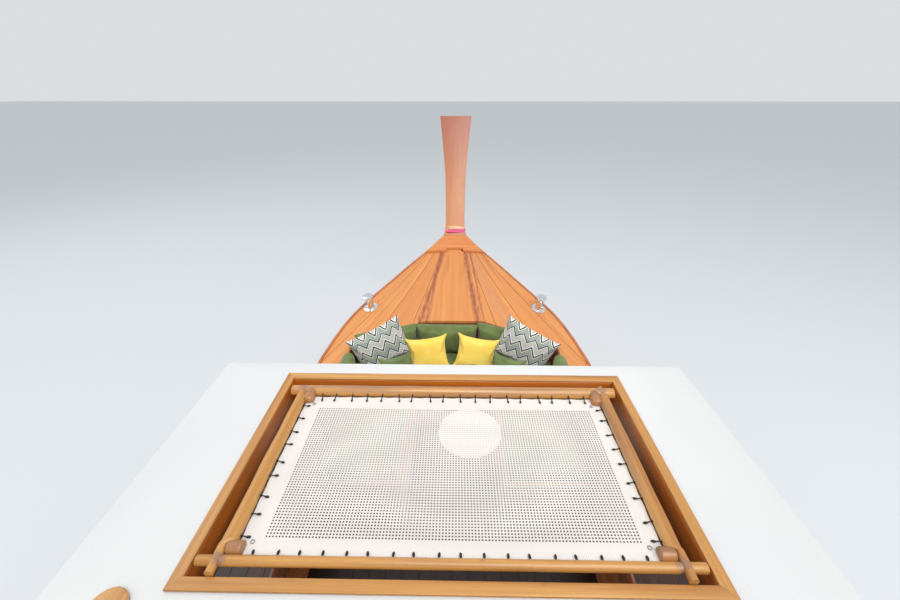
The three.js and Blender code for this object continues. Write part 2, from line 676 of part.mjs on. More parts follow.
function lounge() {
  const { aftX, foreX, low, high, footwellX, footwellY, board } = LOUNGE;
  const floor = SOLE.high + GAP;
  const top = box(aftX, foreX, -1700, 1700, low, high)
    .subtract(box(aftX - 1, footwellX, -footwellY, footwellY, low - 1, high + 1));
  const front = box(footwellX, footwellX + board, -footwellY - board, footwellY + board, floor, high);
  const risers = halves.flatMap(([, sign]) => {
    const across = (near, far) => [sign * near, sign * far].sort((a, b) => a - b);
    return [
      box(aftX, footwellX + board, ...across(footwellY, footwellY + board), floor, high),
      box(aftX, aftX + board, ...across(footwellY, 1700), floor, high),
    ];
  });
  const forward = box(3000, 5000, -2000, 2000, -500, 2000)
    .subtract(openingPrism(GAP))
    .intersect(box(COAMING.endX, 5000, -2000, 2000, -500, 2000));
  const bench = union([top, front, ...risers]).intersect(interiorFit).subtract(forward);
  addPiece('lounge_bench', bench, 'paleTeak');

  const pad = SEAT_PAD;
  const well = openingPrism(pad.edge);
  const base = high + GAP;
  const centre = box(pad.splitX, pad.foreX, -1300, 1300, base, base + pad.thickness).intersect(well);
  addPiece('seat_pad_centre', centre, 'greenCloth');
  halves.forEach(([side, sign]) => {
    const across = [sign * pad.innerY, sign * 1300].sort((a, b) => a - b);
    const block = box(pad.aftX, pad.splitX - 10, ...across, base, base + pad.thickness);
    addPiece(`seat_pad_${side}`, block.intersect(well), 'greenCloth');
  });
}

// Square pillow, thick in the middle and thin at its edges, facing aft about its middle.
// Rows: share of the outline, share of the half thickness
const PILLOW_LAYERS = [[0.42, -1], [0.8, -0.72], [1, 0], [0.8, 0.72], [0.42, 1]];

function pillow(width, height, thickness) {
  const rings = PILLOW_LAYERS.map(([share, depth]) => {
    const [y, z] = [(width / 2) * share, (height / 2) * share];
    return [[y, z], [0, z * 0.96], [-y, z], [-y * 0.96, 0], [-y, -z], [0, -z * 0.96], [y, -z], [y * 0.96, 0]]
      .map(([py, pz]) => new THREE.Vector3((depth * thickness) / 2, py, pz));
  });
  return loft(rings);
}

// Solid dropped or lifted so that its lowest point lies at z
function seatedAt(solid, z) {
  return solid.translate([0, 0, z - solid.boundingBox().min[2]]);
}

function looseCushions() {
  const seat = LOUNGE.high + GAP + SEAT_PAD.thickness + GAP;
  BACK_CUSHIONS.forEach(([name, x, y, width, height, thickness, turn]) => {
    const block = softBlock(thickness, width, height, 26).rotate([0, 0, turn]);
    addPiece(name, block.translate([x, y, seat]), 'greenCloth');
  });
  PILLOWS.forEach(([name, x, y, width, height, thickness, turn, lean, roll, material]) => {
    const body = pillow(width, height, thickness)
      .rotate([-roll, 0, 0])
      .rotate([0, lean, 0])
      .rotate([0, 0, turn])
      .translate([x, y, 0]);
    addPiece(name, seatedAt(body, seat), material);
  });
  addPiece('lounge_table', turned(TABLE_PROFILE, 32, ...TABLE_CENTRE), 'whitePanel');
}

function roundedRectangle(lowX, highX, halfY, corner, steps) {
  const points = [];
  [[highX, halfY, 0], [lowX, halfY, 1], [lowX, -halfY, 2], [highX, -halfY, 3]].forEach(([x, y, quarter]) => {
    const middle = [x - Math.sign(x - (lowX + highX) / 2) * corner, y - Math.sign(y) * corner];
    for (let i = 0; i <= steps; i += 1) {
      const angle = ((quarter + i / steps) * Math.PI) / 2;
      points.push([middle[0] + corner * Math.cos(angle), middle[1] + corner * Math.sin(angle)]);
    }
  });
  return points;
}

function roof() {
  HOOP_X.forEach((x, i) => {
    const foot = deckTop(sampleAt(x), HOOP.postY) - DECK_INSET;
    const posts = halves.map(([, sign]) => bar([x, sign * HOOP.postY, foot],
      [x, sign * HOOP.postY, HOOP.beamLow + 10], HOOP.postRadius, HOOP.sides));
    const reach = HOOP.postY + HOOP.postRadius;
    const beam = box(x - HOOP.beamHalf, x + HOOP.beamHalf, -reach, reach, HOOP.beamLow, ROOF.low - GAP);
    addPiece(`roof_hoop_${i + 1}`, clearOfDecks(union([beam, ...posts])), 'paleTeak');
  });

  const { aftX, foreX, halfWidth, low, high, corner } = ROOF;
  const panel = prism(roundedRectangle(aftX, foreX, halfWidth, corner, 5), low, high);
  const { aftX: cutAft, foreX: cutFore, halfWidth: cutHalf } = ROOF_OPENING;
  const cut = box(cutAft, cutFore, -cutHalf, cutHalf, low - 1, high + 1);
  addPiece('roof_panel', panel.subtract(cut), 'whitePanel');

  const pad = STEP_PAD;
  const outline = roundedRectangle(pad.aftX, pad.foreX, pad.halfWidth, pad.halfWidth - 1, 5)
    .map(([x, y]) => [x, y + pad.y]);
  addPiece('roof_step_pad', prism(outline, high + GAP, high + pad.thickness), 'teak');
}

function netFrame(grow) {
  const { radius, aftRadius, z, sides, sideY, aftX, foreX } = POLE;
  const [endAft, endFore, endHalf] = NET_COAMING.inner;
  const poles = halves.flatMap(([, sign]) => [
    bar([endAft + GAP, sign * sideY, z], [endFore - GAP, sign * sideY, z], radius + grow, sides),
    ...STUBS.map(([axis, fixed, from, to, stubRadius]) => (axis === 'x'
      ? bar([from, sign * fixed, z], [to, sign * fixed, z], stubRadius + grow, sides)
      : bar([fixed, sign * from, z], [fixed, sign * to, z], stubRadius + grow, sides))),
  ]);
  const crossPoles = [[aftX, aftRadius], [foreX, radius]].map(([x, crossRadius]) => (
    bar([x, GAP - endHalf, z], [x, endHalf - GAP, z], crossRadius + grow, sides)));
  return union([...poles, ...crossPoles]);
}

function net() {
  const { outer, inner, liningLow, top } = NET_COAMING;
  const { aftX, foreX, halfWidth } = ROOF_OPENING;
  const flange = box(outer[0], outer[1], -outer[2], outer[2], ROOF.high + GAP, top);
  const lining = box(aftX + GAP, foreX - GAP, GAP - halfWidth, halfWidth - GAP, liningLow, top);
  const hole = box(inner[0], inner[1], -inner[2], inner[2], liningLow - 1, top + 1);
  addPiece('net_coaming', flange.add(lining).subtract(hole), 'paleTeak');
  addPiece('net_frame', netFrame(0), 'paleTeak');
  const sheet = box(POLE.aftX, POLE.foreX, -POLE.sideY, POLE.sideY, NET.low, NET.high);
  addPiece('sun_net', sheet.subtract(netFrame(GAP)), 'netCloth');
}

function bollards() {
  const step = 20;
  const { x, y, sides } = BOLLARD;
  const { height, reach, radius, ballRadius } = BOLLARD_BAR;
  const heightAt = (px, py) => deckTop(sampleAt(px), py);
  const normal = new THREE.Vector3(
    (heightAt(x - step, y) - heightAt(x + step, y)) / (2 * step),
    (heightAt(x, y - step) - heightAt(x, y + step)) / (2 * step),
    1,
  ).normalize();
  const lean = (Math.asin(normal.x) * 180) / Math.PI;
  const heel = (Math.asin(normal.y) * 180) / Math.PI;
  halves.forEach(([side, sign]) => {
    const cross = bar([-reach, 0, height], [reach, 0, height], radius, 10);
    const balls = [-reach, reach].map((end) => {
      const ball = new THREE.SphereGeometry(ballRadius, 10, 6);
      ball.translate(end, 0, height);
      return solidOf(ball);
    });
    const body = union([turned(BOLLARD_PROFILE, sides), cross, ...balls])
      .rotate([-sign * heel, lean, 0])
      .translate([x, sign * y, heightAt(x, y)]);
    addPiece(`bollard_${side}`, clearOfDecks(body), 'stainless');
  });
}

function engineBed() {
  const { aftX, foreX, halfWidth, low, high, footY } = BED;
  const beam = box(aftX, foreX, -halfWidth, halfWidth, low, high);
  const feet = halves.map(([, sign]) => {
    const across = [sign * footY, sign * halfWidth].sort((a, b) => a - b);
    return box(aftX, foreX, ...across, deckTop(sampleAt(PIVOT_X), footY) - DECK_INSET * 1.5, high);
  });
  const pedestal = bar([PIVOT_X, 0, low + 10], [PIVOT_X, 0, PEDESTAL.top], PEDESTAL.radius, PEDESTAL.sides);
  addPiece('engine_bed', clearOfDecks(union([beam, pedestal, ...feet])), 'darkTeak');
}

function pivotYoke() {
  const { baseHalfX, halfY, plate, baseTop, armHalfX, armTop } = YOKE;
  const base = box(PIVOT_X - baseHalfX, PIVOT_X + baseHalfX, -halfY, halfY, PEDESTAL.top + GAP, baseTop);
  const arms = halves.map(([, sign]) => {
    const across = [sign * (halfY - plate), sign * halfY].sort((a, b) => a - b);
    return box(PIVOT_X - armHalfX, PIVOT_X + armHalfX, ...across, baseTop - 5, armTop);
  });
  const bore = bar([PIVOT_X, -halfY - 5, TRUNNION_Z], [PIVOT_X, halfY + 5, TRUNNION_Z], PIN.holeRadius, PIN.sides);
  addPiece('pivot_yoke', union([base, ...arms]).subtract(bore), 'blackSteel');
}

const tail = new THREE.Group();
tail.position.set(PIVOT_X, 0, TRUNNION_Z);
tail.rotation.y = THREE.MathUtils.degToRad(-TAIL_REST_TILT);
boat.add(tail);

function engineCradle() {
  const { railY, railHalf, aftX, foreX, low, high, railLift } = CRADLE;
  const innerFace = YOKE.halfY - YOKE.plate - JOINT_GAP;
  const sides = halves.flatMap(([, sign]) => {
    const span = (near, far) => [sign * near, sign * far].sort((a, b) => a - b);
    return [
      box(aftX, foreX, ...span(railY - railHalf, railY + railHalf), low + railLift, high + railLift),
      box(-55, 55, ...span(railY - railHalf, innerFace), low + railLift, 45),
      bar([0, sign * (railY - railHalf + 2), 0], [0, sign * (YOKE.halfY + 12), 0], PIN.radius, PIN.sides),
    ];
  });
  const ties = [200, 640].map((x) => box(x - 30, x + 30, -railY, railY, low, high));
  const drops = [200, 640].flatMap((x) => halves.map(([, sign]) => {
    const span = [sign * (railY - railHalf), sign * (railY + railHalf)].sort((a, b) => a - b);
    return box(x - 30, x + 30, ...span, low, high + railLift);
  }));
  addPiece('engine_cradle', union([...sides, ...ties, ...drops]), 'blackSteel', tail);
}

function engine() {
  addPiece('engine_block', box(...ENGINE_BLOCK), 'castIron', tail);
  addPiece('cylinder_head', box(...CYLINDER_HEAD).add(box(...INTAKE)), 'alloy', tail);
  const bell = bar([BELL.aftX, 0, SHAFT_Z], [BELL.foreX, 0, SHAFT_Z], BELL.radius * 0.55, BELL.sides, BELL.radius);
  addPiece('bell_housing', bell, 'alloy', tail);
  const pulley = bar([PULLEY.aftX, 0, SHAFT_Z], [PULLEY.foreX, 0, SHAFT_Z], PULLEY.radius, PULLEY.sides);
  addPiece('front_pulley', pulley, 'blackSteel', tail);
  const head = box(80 - GAP, 740 + GAP, -120 - GAP, 120 + GAP, 160, 330 + GAP);
  addPiece('exhaust_pipe', tube(EXHAUST_PATH, EXHAUST_RADIUS, 10, 24).subtract(head), 'blackSteel', tail);
}

function tailGear() {
  const { aftX, foreX, radius, boreRadius, sides } = TAIL;
  const shaft = bar([aftX, 0, SHAFT_Z], [foreX, 0, SHAFT_Z], radius, sides);
  const bore = bar([aftX - 1, 0, SHAFT_Z], [foreX + 1, 0, SHAFT_Z], boreRadius, sides);
  const fin = sidePlate(FIN_OUTLINE, -FIN_HALF_THICKNESS, FIN_HALF_THICKNESS);
  addPiece('tail_tube', shaft.add(fin).subtract(bore), 'stainless', tail);

  const { railY, railHalf, low, high } = CRADLE;
  const outer = railY + railHalf + GAP;
  const rail = box(CRADLE.aftX, CRADLE.foreX, -outer, railHalf - railY - GAP,
    low + CRADLE.railLift - GAP, high + CRADLE.railLift + GAP);
  addPiece('tiller', tube(TILLER_PATH, TILLER_RADIUS, 10, 20).subtract(rail), 'stainless', tail);
}

function propeller() {
  const { hubAft, hubRadius, bladeReach, bladeHalf, pitch, count } = PROPELLER;
  const start = TAIL.aftX - GAP;
  const hub = bar([start, 0, 0], [hubAft, 0, 0], hubRadius, 14, hubRadius * 0.6);
  const middle = (start + hubAft) / 2;
  const blades = Array.from({ length: count }, (_, i) => {
    const outline = new THREE.Shape();
    outline.absellipse(0, bladeReach / 2 + 10, bladeHalf, bladeReach / 2 - 10, 0, 2 * Math.PI);
    const plate = new THREE.ExtrudeGeometry(outline, { depth: 8, bevelEnabled: false, curveSegments: 6 });
    plate.translate(0, 0, -4);
    plate.rotateY(THREE.MathUtils.degToRad(90 - pitch));
    plate.rotateX((i * 2 * Math.PI) / count);
    plate.translate(middle, 0, 0);
    return solidOf(plate);
  });
  const mesh = addPiece('propeller', union([hub, ...blades]), 'bronze', tail);
  mesh.position.z = SHAFT_Z;
}

hull();
keel();
stem();
rubRails();
decks();
coamingsAndBulkhead();
floors();
cabinBenches();
lounge();
looseCushions();
roof();
net();
bollards();
engineBed();
pivotYoke();
engineCradle();
engine();
tailGear();
propeller();

export default boat;
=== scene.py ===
import math

import bmesh
import bpy
from bpy.props import FloatProperty, FloatVectorProperty, IntProperty, PointerProperty
from mathutils import Matrix, Vector
from mathutils.bvhtree import BVHTree
from mathutils.noise import noise


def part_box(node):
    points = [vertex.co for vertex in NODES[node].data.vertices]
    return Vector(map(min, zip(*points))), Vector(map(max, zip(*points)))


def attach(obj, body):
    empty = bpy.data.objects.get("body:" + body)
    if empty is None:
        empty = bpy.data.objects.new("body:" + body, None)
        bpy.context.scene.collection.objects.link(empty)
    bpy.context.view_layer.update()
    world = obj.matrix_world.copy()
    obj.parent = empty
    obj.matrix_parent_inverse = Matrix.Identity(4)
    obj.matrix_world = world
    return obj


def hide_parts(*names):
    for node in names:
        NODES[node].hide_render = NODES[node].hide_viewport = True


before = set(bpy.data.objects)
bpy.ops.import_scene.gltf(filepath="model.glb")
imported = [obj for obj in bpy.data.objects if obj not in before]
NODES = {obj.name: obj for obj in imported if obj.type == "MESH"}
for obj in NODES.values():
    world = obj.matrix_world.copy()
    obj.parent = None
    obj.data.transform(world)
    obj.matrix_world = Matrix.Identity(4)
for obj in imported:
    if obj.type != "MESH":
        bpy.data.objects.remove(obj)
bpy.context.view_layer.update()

bl_info = {
    "name": "Longtail Boat",
    "version": (1, 0, 0),
    "blender": (4, 5, 0),
    "location": "View3D > Sidebar > Boat",
    "description": "Dresses a longtail boat's frame with planked decks, net, cushions and engine",
    "category": "Object",
}

UP = Vector((0, 0, 1))

# Camera, fitted to the horizon, the roof's edges and the deck
CAMERA_PLACE = (0.0, -0.013, 3.90)
CAMERA_PITCH = 28.26
CAMERA_HEADING = 0.88
CAMERA_LENS = 16.0

# Roof opening, poles and net, in metres
COAMING_OUTER = (0.656, 1.730, 0.896)
COAMING_INNER = (0.699, 1.682, 0.853)
LINING_OUTER = (0.6783, 1.7037, 0.8737)
COAMING_HEIGHTS = (2.35, 2.5003, 2.512)
POLE_RADIUS = 0.030
POLE_AFT_RADIUS = 0.0185
POLE_HEIGHT = 2.510
POLE_SIDE = 0.759
POLE_AFT = 0.748
POLE_FORE = 1.585
NET_EDGE = (0.768, 1.552, 0.7315)
NET_HOLES = (0.831, 1.475, 0.6615)
NET_SHIFT = -0.009
NET_ROWS = 55
NET_COLUMNS = 113
NET_HEIGHT = 2.500
TOGGLE_ENDS = 18
TOGGLE_SIDES = 9
TOGGLE_PITCH = 0.0779
TOGGLE_SIDE_PITCH = 0.0808
TOGGLE_FIRST = 0.8309
KNOT_PLACES = (0.7800, 1.5225, 0.706)

# Foredeck plank seams: distance off the centre line at x 4.36 m and at x 5.60 m
FOREDECK_SEAMS = ((0.478, 0.205), (0.80, 0.30), (1.10, 0.40))
FOREDECK_STATIONS = (4.36, 5.60)

# Stern gear: the trunnion, and how far the shaft is tipped at rest
TRUNNION = (-6.05, 0.0, 1.6)
TAIL_TILT = 14.0
TAIL_FRAME = Matrix.Translation(TRUNNION) @ Matrix.Rotation(math.radians(-TAIL_TILT), 4, "Y")


def linear(colour):
    """sRGB hex to the linear colour that a socket holds."""
    parts = [int(colour[i:i + 2], 16) / 255 for i in (1, 3, 5)]
    return tuple(p / 12.92 if p <= 0.04045 else ((p + 0.055) / 1.055) ** 2.4 for p in parts) + (1.0,)


def per_mm(size):
    """Repeats a metre of a pattern whose real size is given in millimetres."""
    return 1000.0 / size


def add(tree, kind, inputs=None, stops=None, **settings):
    """Adds one shader node with its settings, its inputs as values or links, and a ramp's stops."""
    node = tree.nodes.new(f"ShaderNode{kind}")
    for key, value in settings.items():
        setattr(node, key, value)
    for key, value in (inputs or {}).items():
        if isinstance(value, bpy.types.NodeSocket):
            tree.links.new(value, node.inputs[key])
        else:
            node.inputs[key].default_value = value
    if stops:
        elements = node.color_ramp.elements
        while len(elements) < len(stops):
            elements.new(0.5)
        for element, (position, colour) in zip(elements, stops):
            element.position = position
            element.color = colour
    return node


def finish_material(name, build, *details):
    """A material whose shader takes the sockets that build gives it; a colour may come as sRGB hex."""
    details = [linear(part) if str(part).startswith("#") else part for part in details]
    made = bpy.data.materials.new(name)
    made.use_nodes = True
    tree = made.node_tree
    tree.nodes.clear()
    place = add(tree, "TexCoord").outputs["Object"]
    shader = add(tree, "BsdfPrincipled", build(tree, place, *details))
    add(tree, "OutputMaterial", {"Surface": shader.outputs[0]})
    return made


COLOUR = {"data_type": "RGBA"}
FINISHES = {}


def varnished_wood(tree, place, pale, deep, streak, run, wear, coat):
    """Long fibres under clear varnish: bands of tone, dark streaks, knots and fine pores along the board."""
    turn = {"X": (0, 0, 0), "Y": (0, 0, math.pi / 2), "Z": (0, math.pi / 2, 0),
            "STEM": (0, math.radians(64.6), 0), "GRAIN": (0, 0, 0)}[run]
    source = place
    if run == "GRAIN":
        source = add(tree, "UVMap", uv_map="grain").outputs[0]
    board = add(tree, "Attribute", attribute_name="plank").outputs["Fac"]
    lift = add(tree, "Math", {0: board, 1: 17.0}, operation="MULTIPLY").outputs[0]
    shift = add(tree, "CombineXYZ", {"X": lift, "Y": 0.0, "Z": lift}).outputs[0]
    moved = add(tree, "VectorMath", {0: source, 1: shift}, operation="ADD").outputs[0]
    turned = add(tree, "Mapping", {"Vector": moved, "Rotation": turn}).outputs[0]
    bands = add(tree, "Mapping", {
        "Vector": turned, "Scale": (per_mm(1600), per_mm(45), per_mm(45))}).outputs[0]
    fibres = add(tree, "Mapping", {
        "Vector": turned, "Scale": (per_mm(420), per_mm(7), per_mm(7))}).outputs[0]
    stains = add(tree, "Mapping", {
        "Vector": turned, "Scale": (per_mm(1300), per_mm(110), per_mm(110))}).outputs[0]
    knots = add(tree, "Mapping", {
        "Vector": turned, "Scale": (per_mm(170), per_mm(85), per_mm(85))}).outputs[0]
    figure = add(tree, "TexNoise", {
        "Vector": bands, "Scale": 1.0, "Detail": 4.0, "Roughness": 0.6, "Distortion": 0.35}).outputs[0]
    pore = add(tree, "TexNoise", {
        "Vector": fibres, "Scale": 1.0, "Detail": 3.0, "Roughness": 0.7}).outputs[0]
    stain = add(tree, "TexNoise", {
        "Vector": stains, "Scale": 1.0, "Detail": 2.0, "Distortion": 0.5}).outputs[0]
    knot = add(tree, "TexVoronoi", {"Vector": knots, "Scale": 1.0}).outputs["Distance"]
    tone = add(tree, "ValToRGB", {0: figure}, ((0.3, pale), (0.72, deep))).outputs[0]
    share = add(tree, "MapRange", {0: board, 3: 0.0, 4: 0.55}).outputs[0]
    tinted = add(tree, "Mix", {0: share, 6: tone, 7: deep}, **COLOUR).outputs[2]
    dark = add(tree, "MapRange", {0: stain, 1: 0.58, 2: 0.74, 3: 0.0, 4: wear}).outputs[0]
    eye = add(tree, "MapRange", {0: knot, 1: 0.04, 2: 0.11, 3: wear, 4: 0.0}).outputs[0]
    darker = add(tree, "Math", {0: dark, 1: eye}, operation="MAXIMUM").outputs[0]
    streaked = add(tree, "Mix", {0: darker, 6: tinted, 7: streak}, **COLOUR).outputs[2]
    fine = add(tree, "MapRange", {0: pore, 1: 0.35, 2: 0.75, 3: 1.04, 4: 0.86}).outputs[0]
    grained = add(tree, "VectorMath", {0: streaked, 3: fine}, operation="SCALE").outputs[0]
    rough = add(tree, "MapRange", {0: pore, 3: 0.28, 4: 0.46}).outputs[0]
    bump = add(tree, "Bump", {"Strength": 0.25, "Distance": 0.0006, "Height": pore}).outputs[0]
    return {"Base Color": grained, "Roughness": rough, "Normal": bump, "Coat Weight": coat,
            "Coat Roughness": 0.12, "IOR": 1.5}


def graded_wood(tree, place, pale, deep, streak, run, wear, coat, other, low, high, share):
    """Varnished timber that turns towards another tone between two heights."""
    sockets = varnished_wood(tree, place, pale, deep, streak, run, wear, coat)
    height = add(tree, "SeparateXYZ", {0: place}).outputs[2]
    part = add(tree, "MapRange", {0: height, 1: low, 2: high, 3: 0.0, 4: share}).outputs[0]
    sockets["Base Color"] = add(tree, "Mix", {0: part, 6: sockets["Base Color"], 7: other},
                                **COLOUR).outputs[2]
    return sockets


# Darker marks on the foredeck: narrow stains beside the king plank, and first a wide patch that darkens the
# starboard side. Columns: y at x 4.36 m, y at x 5.60 m, half width, share, colour
DECK_MARKS = (
    # A wide patch that darkens the starboard side of the foredeck
    (-0.60, -0.23, 0.100, 0.55, "#C58462"),
    (0.405, 0.178, 0.035, 0.85, "#8E4638"),
    (0.330, 0.205, 0.020, 0.75, "#9A4E3C"),
    (-0.285, -0.150, 0.035, 0.85, "#8E4638"),
    (-0.360, -0.230, 0.018, 0.70, "#9A4E3C"),
)


def stained_planks(tree, place, pale, deep, streak):
    """Deck planks with dark water stains that run beside the king plank, and a wide darker patch to
    starboard.
    """
    sockets = varnished_wood(tree, place, pale, deep, streak, "GRAIN", 0.45, 0.12)
    split = add(tree, "SeparateXYZ", {0: place})
    first, last = FOREDECK_STATIONS
    along = add(tree, "Math", {0: split.outputs[0], 1: first}, operation="SUBTRACT").outputs[0]
    stretch = add(tree, "Mapping", {
        "Vector": place, "Scale": (per_mm(420), per_mm(30), per_mm(30))}).outputs[0]
    ragged = add(tree, "TexNoise", {"Vector": stretch, "Scale": 1.0, "Detail": 4.0}).outputs[0]
    fore = add(tree, "MapRange", {0: split.outputs[0], 1: 3.9, 2: 4.2}).outputs[0]
    for start_y, end_y, half, most, colour in DECK_MARKS:
        lean = (end_y - start_y) / (last - first)
        line = add(tree, "Math", {0: along, 1: -lean, 2: split.outputs[1]},
                   operation="MULTIPLY_ADD").outputs[0]
        off = add(tree, "Math", {0: line, 1: start_y}, operation="SUBTRACT").outputs[0]
        away = add(tree, "Math", {0: off}, operation="ABSOLUTE").outputs[0]
        edge = add(tree, "Math", {0: ragged, 1: -2.6 * half, 2: away}, operation="MULTIPLY_ADD").outputs[0]
        share = add(tree, "MapRange", {0: edge, 1: -1.3 * half, 2: 0.0, 3: most, 4: 0.0}).outputs[0]
        shown = add(tree, "Math", {0: share, 1: fore}, operation="MULTIPLY").outputs[0]
        sockets["Base Color"] = add(tree, "Mix", {0: shown, 6: sockets["Base Color"], 7: linear(colour)},
                                    **COLOUR).outputs[2]
    return sockets


def weathered_pole(tree, place, pale, deep, worn, run):
    """Round pole, varnished but worn to grey brown wood in ragged patches where poles cross."""
    sockets = varnished_wood(tree, place, pale, deep, worn, run, 0.7, 0.3)
    split = add(tree, "SeparateXYZ", {0: place})
    across = add(tree, "Math", {0: split.outputs[1]}, operation="ABSOLUTE").outputs[0]
    side = add(tree, "Math", {0: across, 1: POLE_SIDE}, operation="SUBTRACT").outputs[0]
    middle = (POLE_AFT + POLE_FORE) / 2
    half = (POLE_FORE - POLE_AFT) / 2
    along = add(tree, "Math", {0: split.outputs[0], 1: middle}, operation="SUBTRACT").outputs[0]
    fold = add(tree, "Math", {0: along}, operation="ABSOLUTE").outputs[0]
    end = add(tree, "Math", {0: fold, 1: half}, operation="SUBTRACT").outputs[0]
    flat = add(tree, "CombineXYZ", {"X": end, "Y": side}).outputs[0]
    reach = add(tree, "VectorMath", {0: flat}, operation="LENGTH").outputs["Value"]
    patch = add(tree, "TexNoise", {"Vector": place, "Scale": per_mm(22), "Detail": 4.0}).outputs[0]
    spread = add(tree, "Math", {0: patch, 1: -0.06, 2: reach}, operation="MULTIPLY_ADD").outputs[0]
    share = add(tree, "MapRange", {0: spread, 1: -0.016, 2: -0.004, 3: 0.75, 4: 0.0}).outputs[0]
    sockets["Base Color"] = add(tree, "Mix", {0: share, 6: sockets["Base Color"], 7: worn},
                                **COLOUR).outputs[2]
    return sockets


def gelcoat(tree, place, clean, dusty):
    """Polished resin skin over the panel: even white, faint dust and a slight waviness."""
    cloud = add(tree, "TexNoise", {
        "Vector": place, "Scale": per_mm(1500), "Detail": 3.0, "Roughness": 0.5}).outputs[0]
    share = add(tree, "MapRange", {0: cloud, 1: 0.35, 2: 0.75}).outputs[0]
    dusted = add(tree, "Mix", {0: share, 6: clean, 7: dusty}, **COLOUR).outputs[2]
    # A few flecks of dirt, about 6 mm, one to a square of 350 mm
    fleck = add(tree, "TexVoronoi", {"Vector": place, "Scale": per_mm(350)}).outputs["Distance"]
    spot = add(tree, "MapRange", {0: fleck, 1: 0.006, 2: 0.012, 3: 0.5, 4: 0.0}).outputs[0]
    colour = add(tree, "Mix", {0: spot, 6: dusted, 7: linear("#6E6258")}, **COLOUR).outputs[2]
    wave = add(tree, "TexNoise", {"Vector": place, "Scale": per_mm(260), "Detail": 1.0}).outputs[0]
    bump = add(tree, "Bump", {"Strength": 0.2, "Distance": 0.002, "Height": wave}).outputs[0]
    rough = add(tree, "MapRange", {0: cloud, 3: 0.28, 4: 0.45}).outputs[0]
    return {"Base Color": colour, "Roughness": rough, "Normal": bump, "IOR": 1.5}


def studio_floor(tree, place, colour):
    """Plain matte backdrop with the slightest unevenness."""
    mark = add(tree, "TexNoise", {"Vector": place, "Scale": per_mm(9000), "Detail": 1.0}).outputs[0]
    rough = add(tree, "MapRange", {0: mark, 3: 0.85, 4: 0.95}).outputs[0]
    return {"Base Color": colour, "Roughness": rough}


def woven_cloth(tree, place, colour, shade, thread, sheen):
    """Plain weave: crossed threads in the bump, uneven dye and a soft bloom."""
    spacing = per_mm(thread)
    warp = add(tree, "TexWave", {"Vector": place, "Scale": spacing / 6.28, "Distortion": 0.4},
               bands_direction="Y").outputs["Fac"]
    weft = add(tree, "TexWave", {"Vector": place, "Scale": spacing / 6.28, "Distortion": 0.4},
               bands_direction="Z").outputs["Fac"]
    weave = add(tree, "Math", {0: warp, 1: weft}, operation="MULTIPLY").outputs[0]
    dye = add(tree, "TexNoise", {"Vector": place, "Scale": per_mm(140), "Detail": 6.0}).outputs[0]
    share = add(tree, "MapRange", {0: dye, 1: 0.35, 2: 0.7}).outputs[0]
    dyed = add(tree, "Mix", {0: share, 6: colour, 7: shade}, **COLOUR).outputs[2]
    light = add(tree, "MapRange", {0: weave, 3: 0.9, 4: 1.06}).outputs[0]
    thready = add(tree, "VectorMath", {0: dyed, 3: light}, operation="SCALE").outputs[0]
    bump = add(tree, "Bump", {"Strength": 0.4, "Distance": 0.0008, "Height": weave}).outputs[0]
    return {"Base Color": thready, "Roughness": 0.9, "Normal": bump, "Sheen Weight": sheen,
            "Sheen Roughness": 0.5}


CHEVRON_TOOTH = 0.073
CHEVRON_SLOPE = 1.31
CHEVRON_REPEAT = 0.230
CHEVRON_BANDS = (
    (0.0, "#1C1D26"), (0.065, "#F6F5E6"), (0.12, "#94998A"), (0.21, "#ACB0A2"), (0.30, "#8C9690"),
    (0.37, "#B6C1BA"), (0.42, "#7C8A8A"), (0.450, "#1E2C35"), (0.535, "#FFFFFA"), (0.595, "#5E5642"),
    (0.635, "#F6F4EC"), (0.685, "#6E6558"), (0.72, "#EFEBE4"), (0.775, "#9A8E82"), (0.82, "#F1ECEC"),
    (0.86, "#76848C"), (0.89, "#FFFFFF"), (0.955, "#1C1D26"),
)


def chevron_cloth(tree, place):
    """Woven zigzag stripes that follow the cover: cream, navy, olive and grey green yarns."""
    cover = add(tree, "UVMap", uv_map="cloth").outputs[0]
    split = add(tree, "SeparateXYZ", {0: cover})
    along = add(tree, "Math", {0: split.outputs[0], 1: 0.026}, operation="ADD").outputs[0]
    tooth = add(tree, "Math", {0: along, 1: CHEVRON_TOOTH}, operation="PINGPONG").outputs[0]
    steep = add(tree, "Math", {0: tooth, 1: CHEVRON_SLOPE, 2: 0.069}, operation="MULTIPLY_ADD").outputs[0]
    rise = add(tree, "Math", {0: steep, 1: split.outputs[1]}, operation="SUBTRACT").outputs[0]
    turns = add(tree, "Math", {0: rise, 1: CHEVRON_REPEAT}, operation="DIVIDE").outputs[0]
    part = add(tree, "Math", {0: turns}, operation="FRACT").outputs[0]
    bands = add(tree, "ValToRGB", {0: part}, [(at, linear(c)) for at, c in CHEVRON_BANDS])
    bands.color_ramp.interpolation = "CONSTANT"
    # Yarns are about 1 mm across and are drawn at 4 mm so that they show
    yarn = add(tree, "TexWave", {"Vector": cover, "Scale": per_mm(4) / 6.28},
               bands_direction="Y").outputs["Fac"]
    light = add(tree, "MapRange", {0: yarn, 3: 0.86, 4: 1.05}).outputs[0]
    colour = add(tree, "VectorMath", {0: bands.outputs[0], 3: light}, operation="SCALE").outputs[0]
    bump = add(tree, "Bump", {"Strength": 0.5, "Distance": 0.001, "Height": yarn}).outputs[0]
    return {"Base Color": colour, "Roughness": 0.92, "Normal": bump, "Sheen Weight": 0.15}


RIBBON_BANDS = (
    (0.0, "#A80E48"), (0.14, "#C81E60"), (0.20, "#FF5C98"), (0.34, "#FF6FA4"), (0.42, "#BE1656"),
    (0.50, "#D8407E"), (0.56, "#FFA3B6"), (0.68, "#FFB9B4"), (0.74, "#FFDFA6"), (0.92, "#FFC98C"),
    (1.0, "#F2A26A"),
)


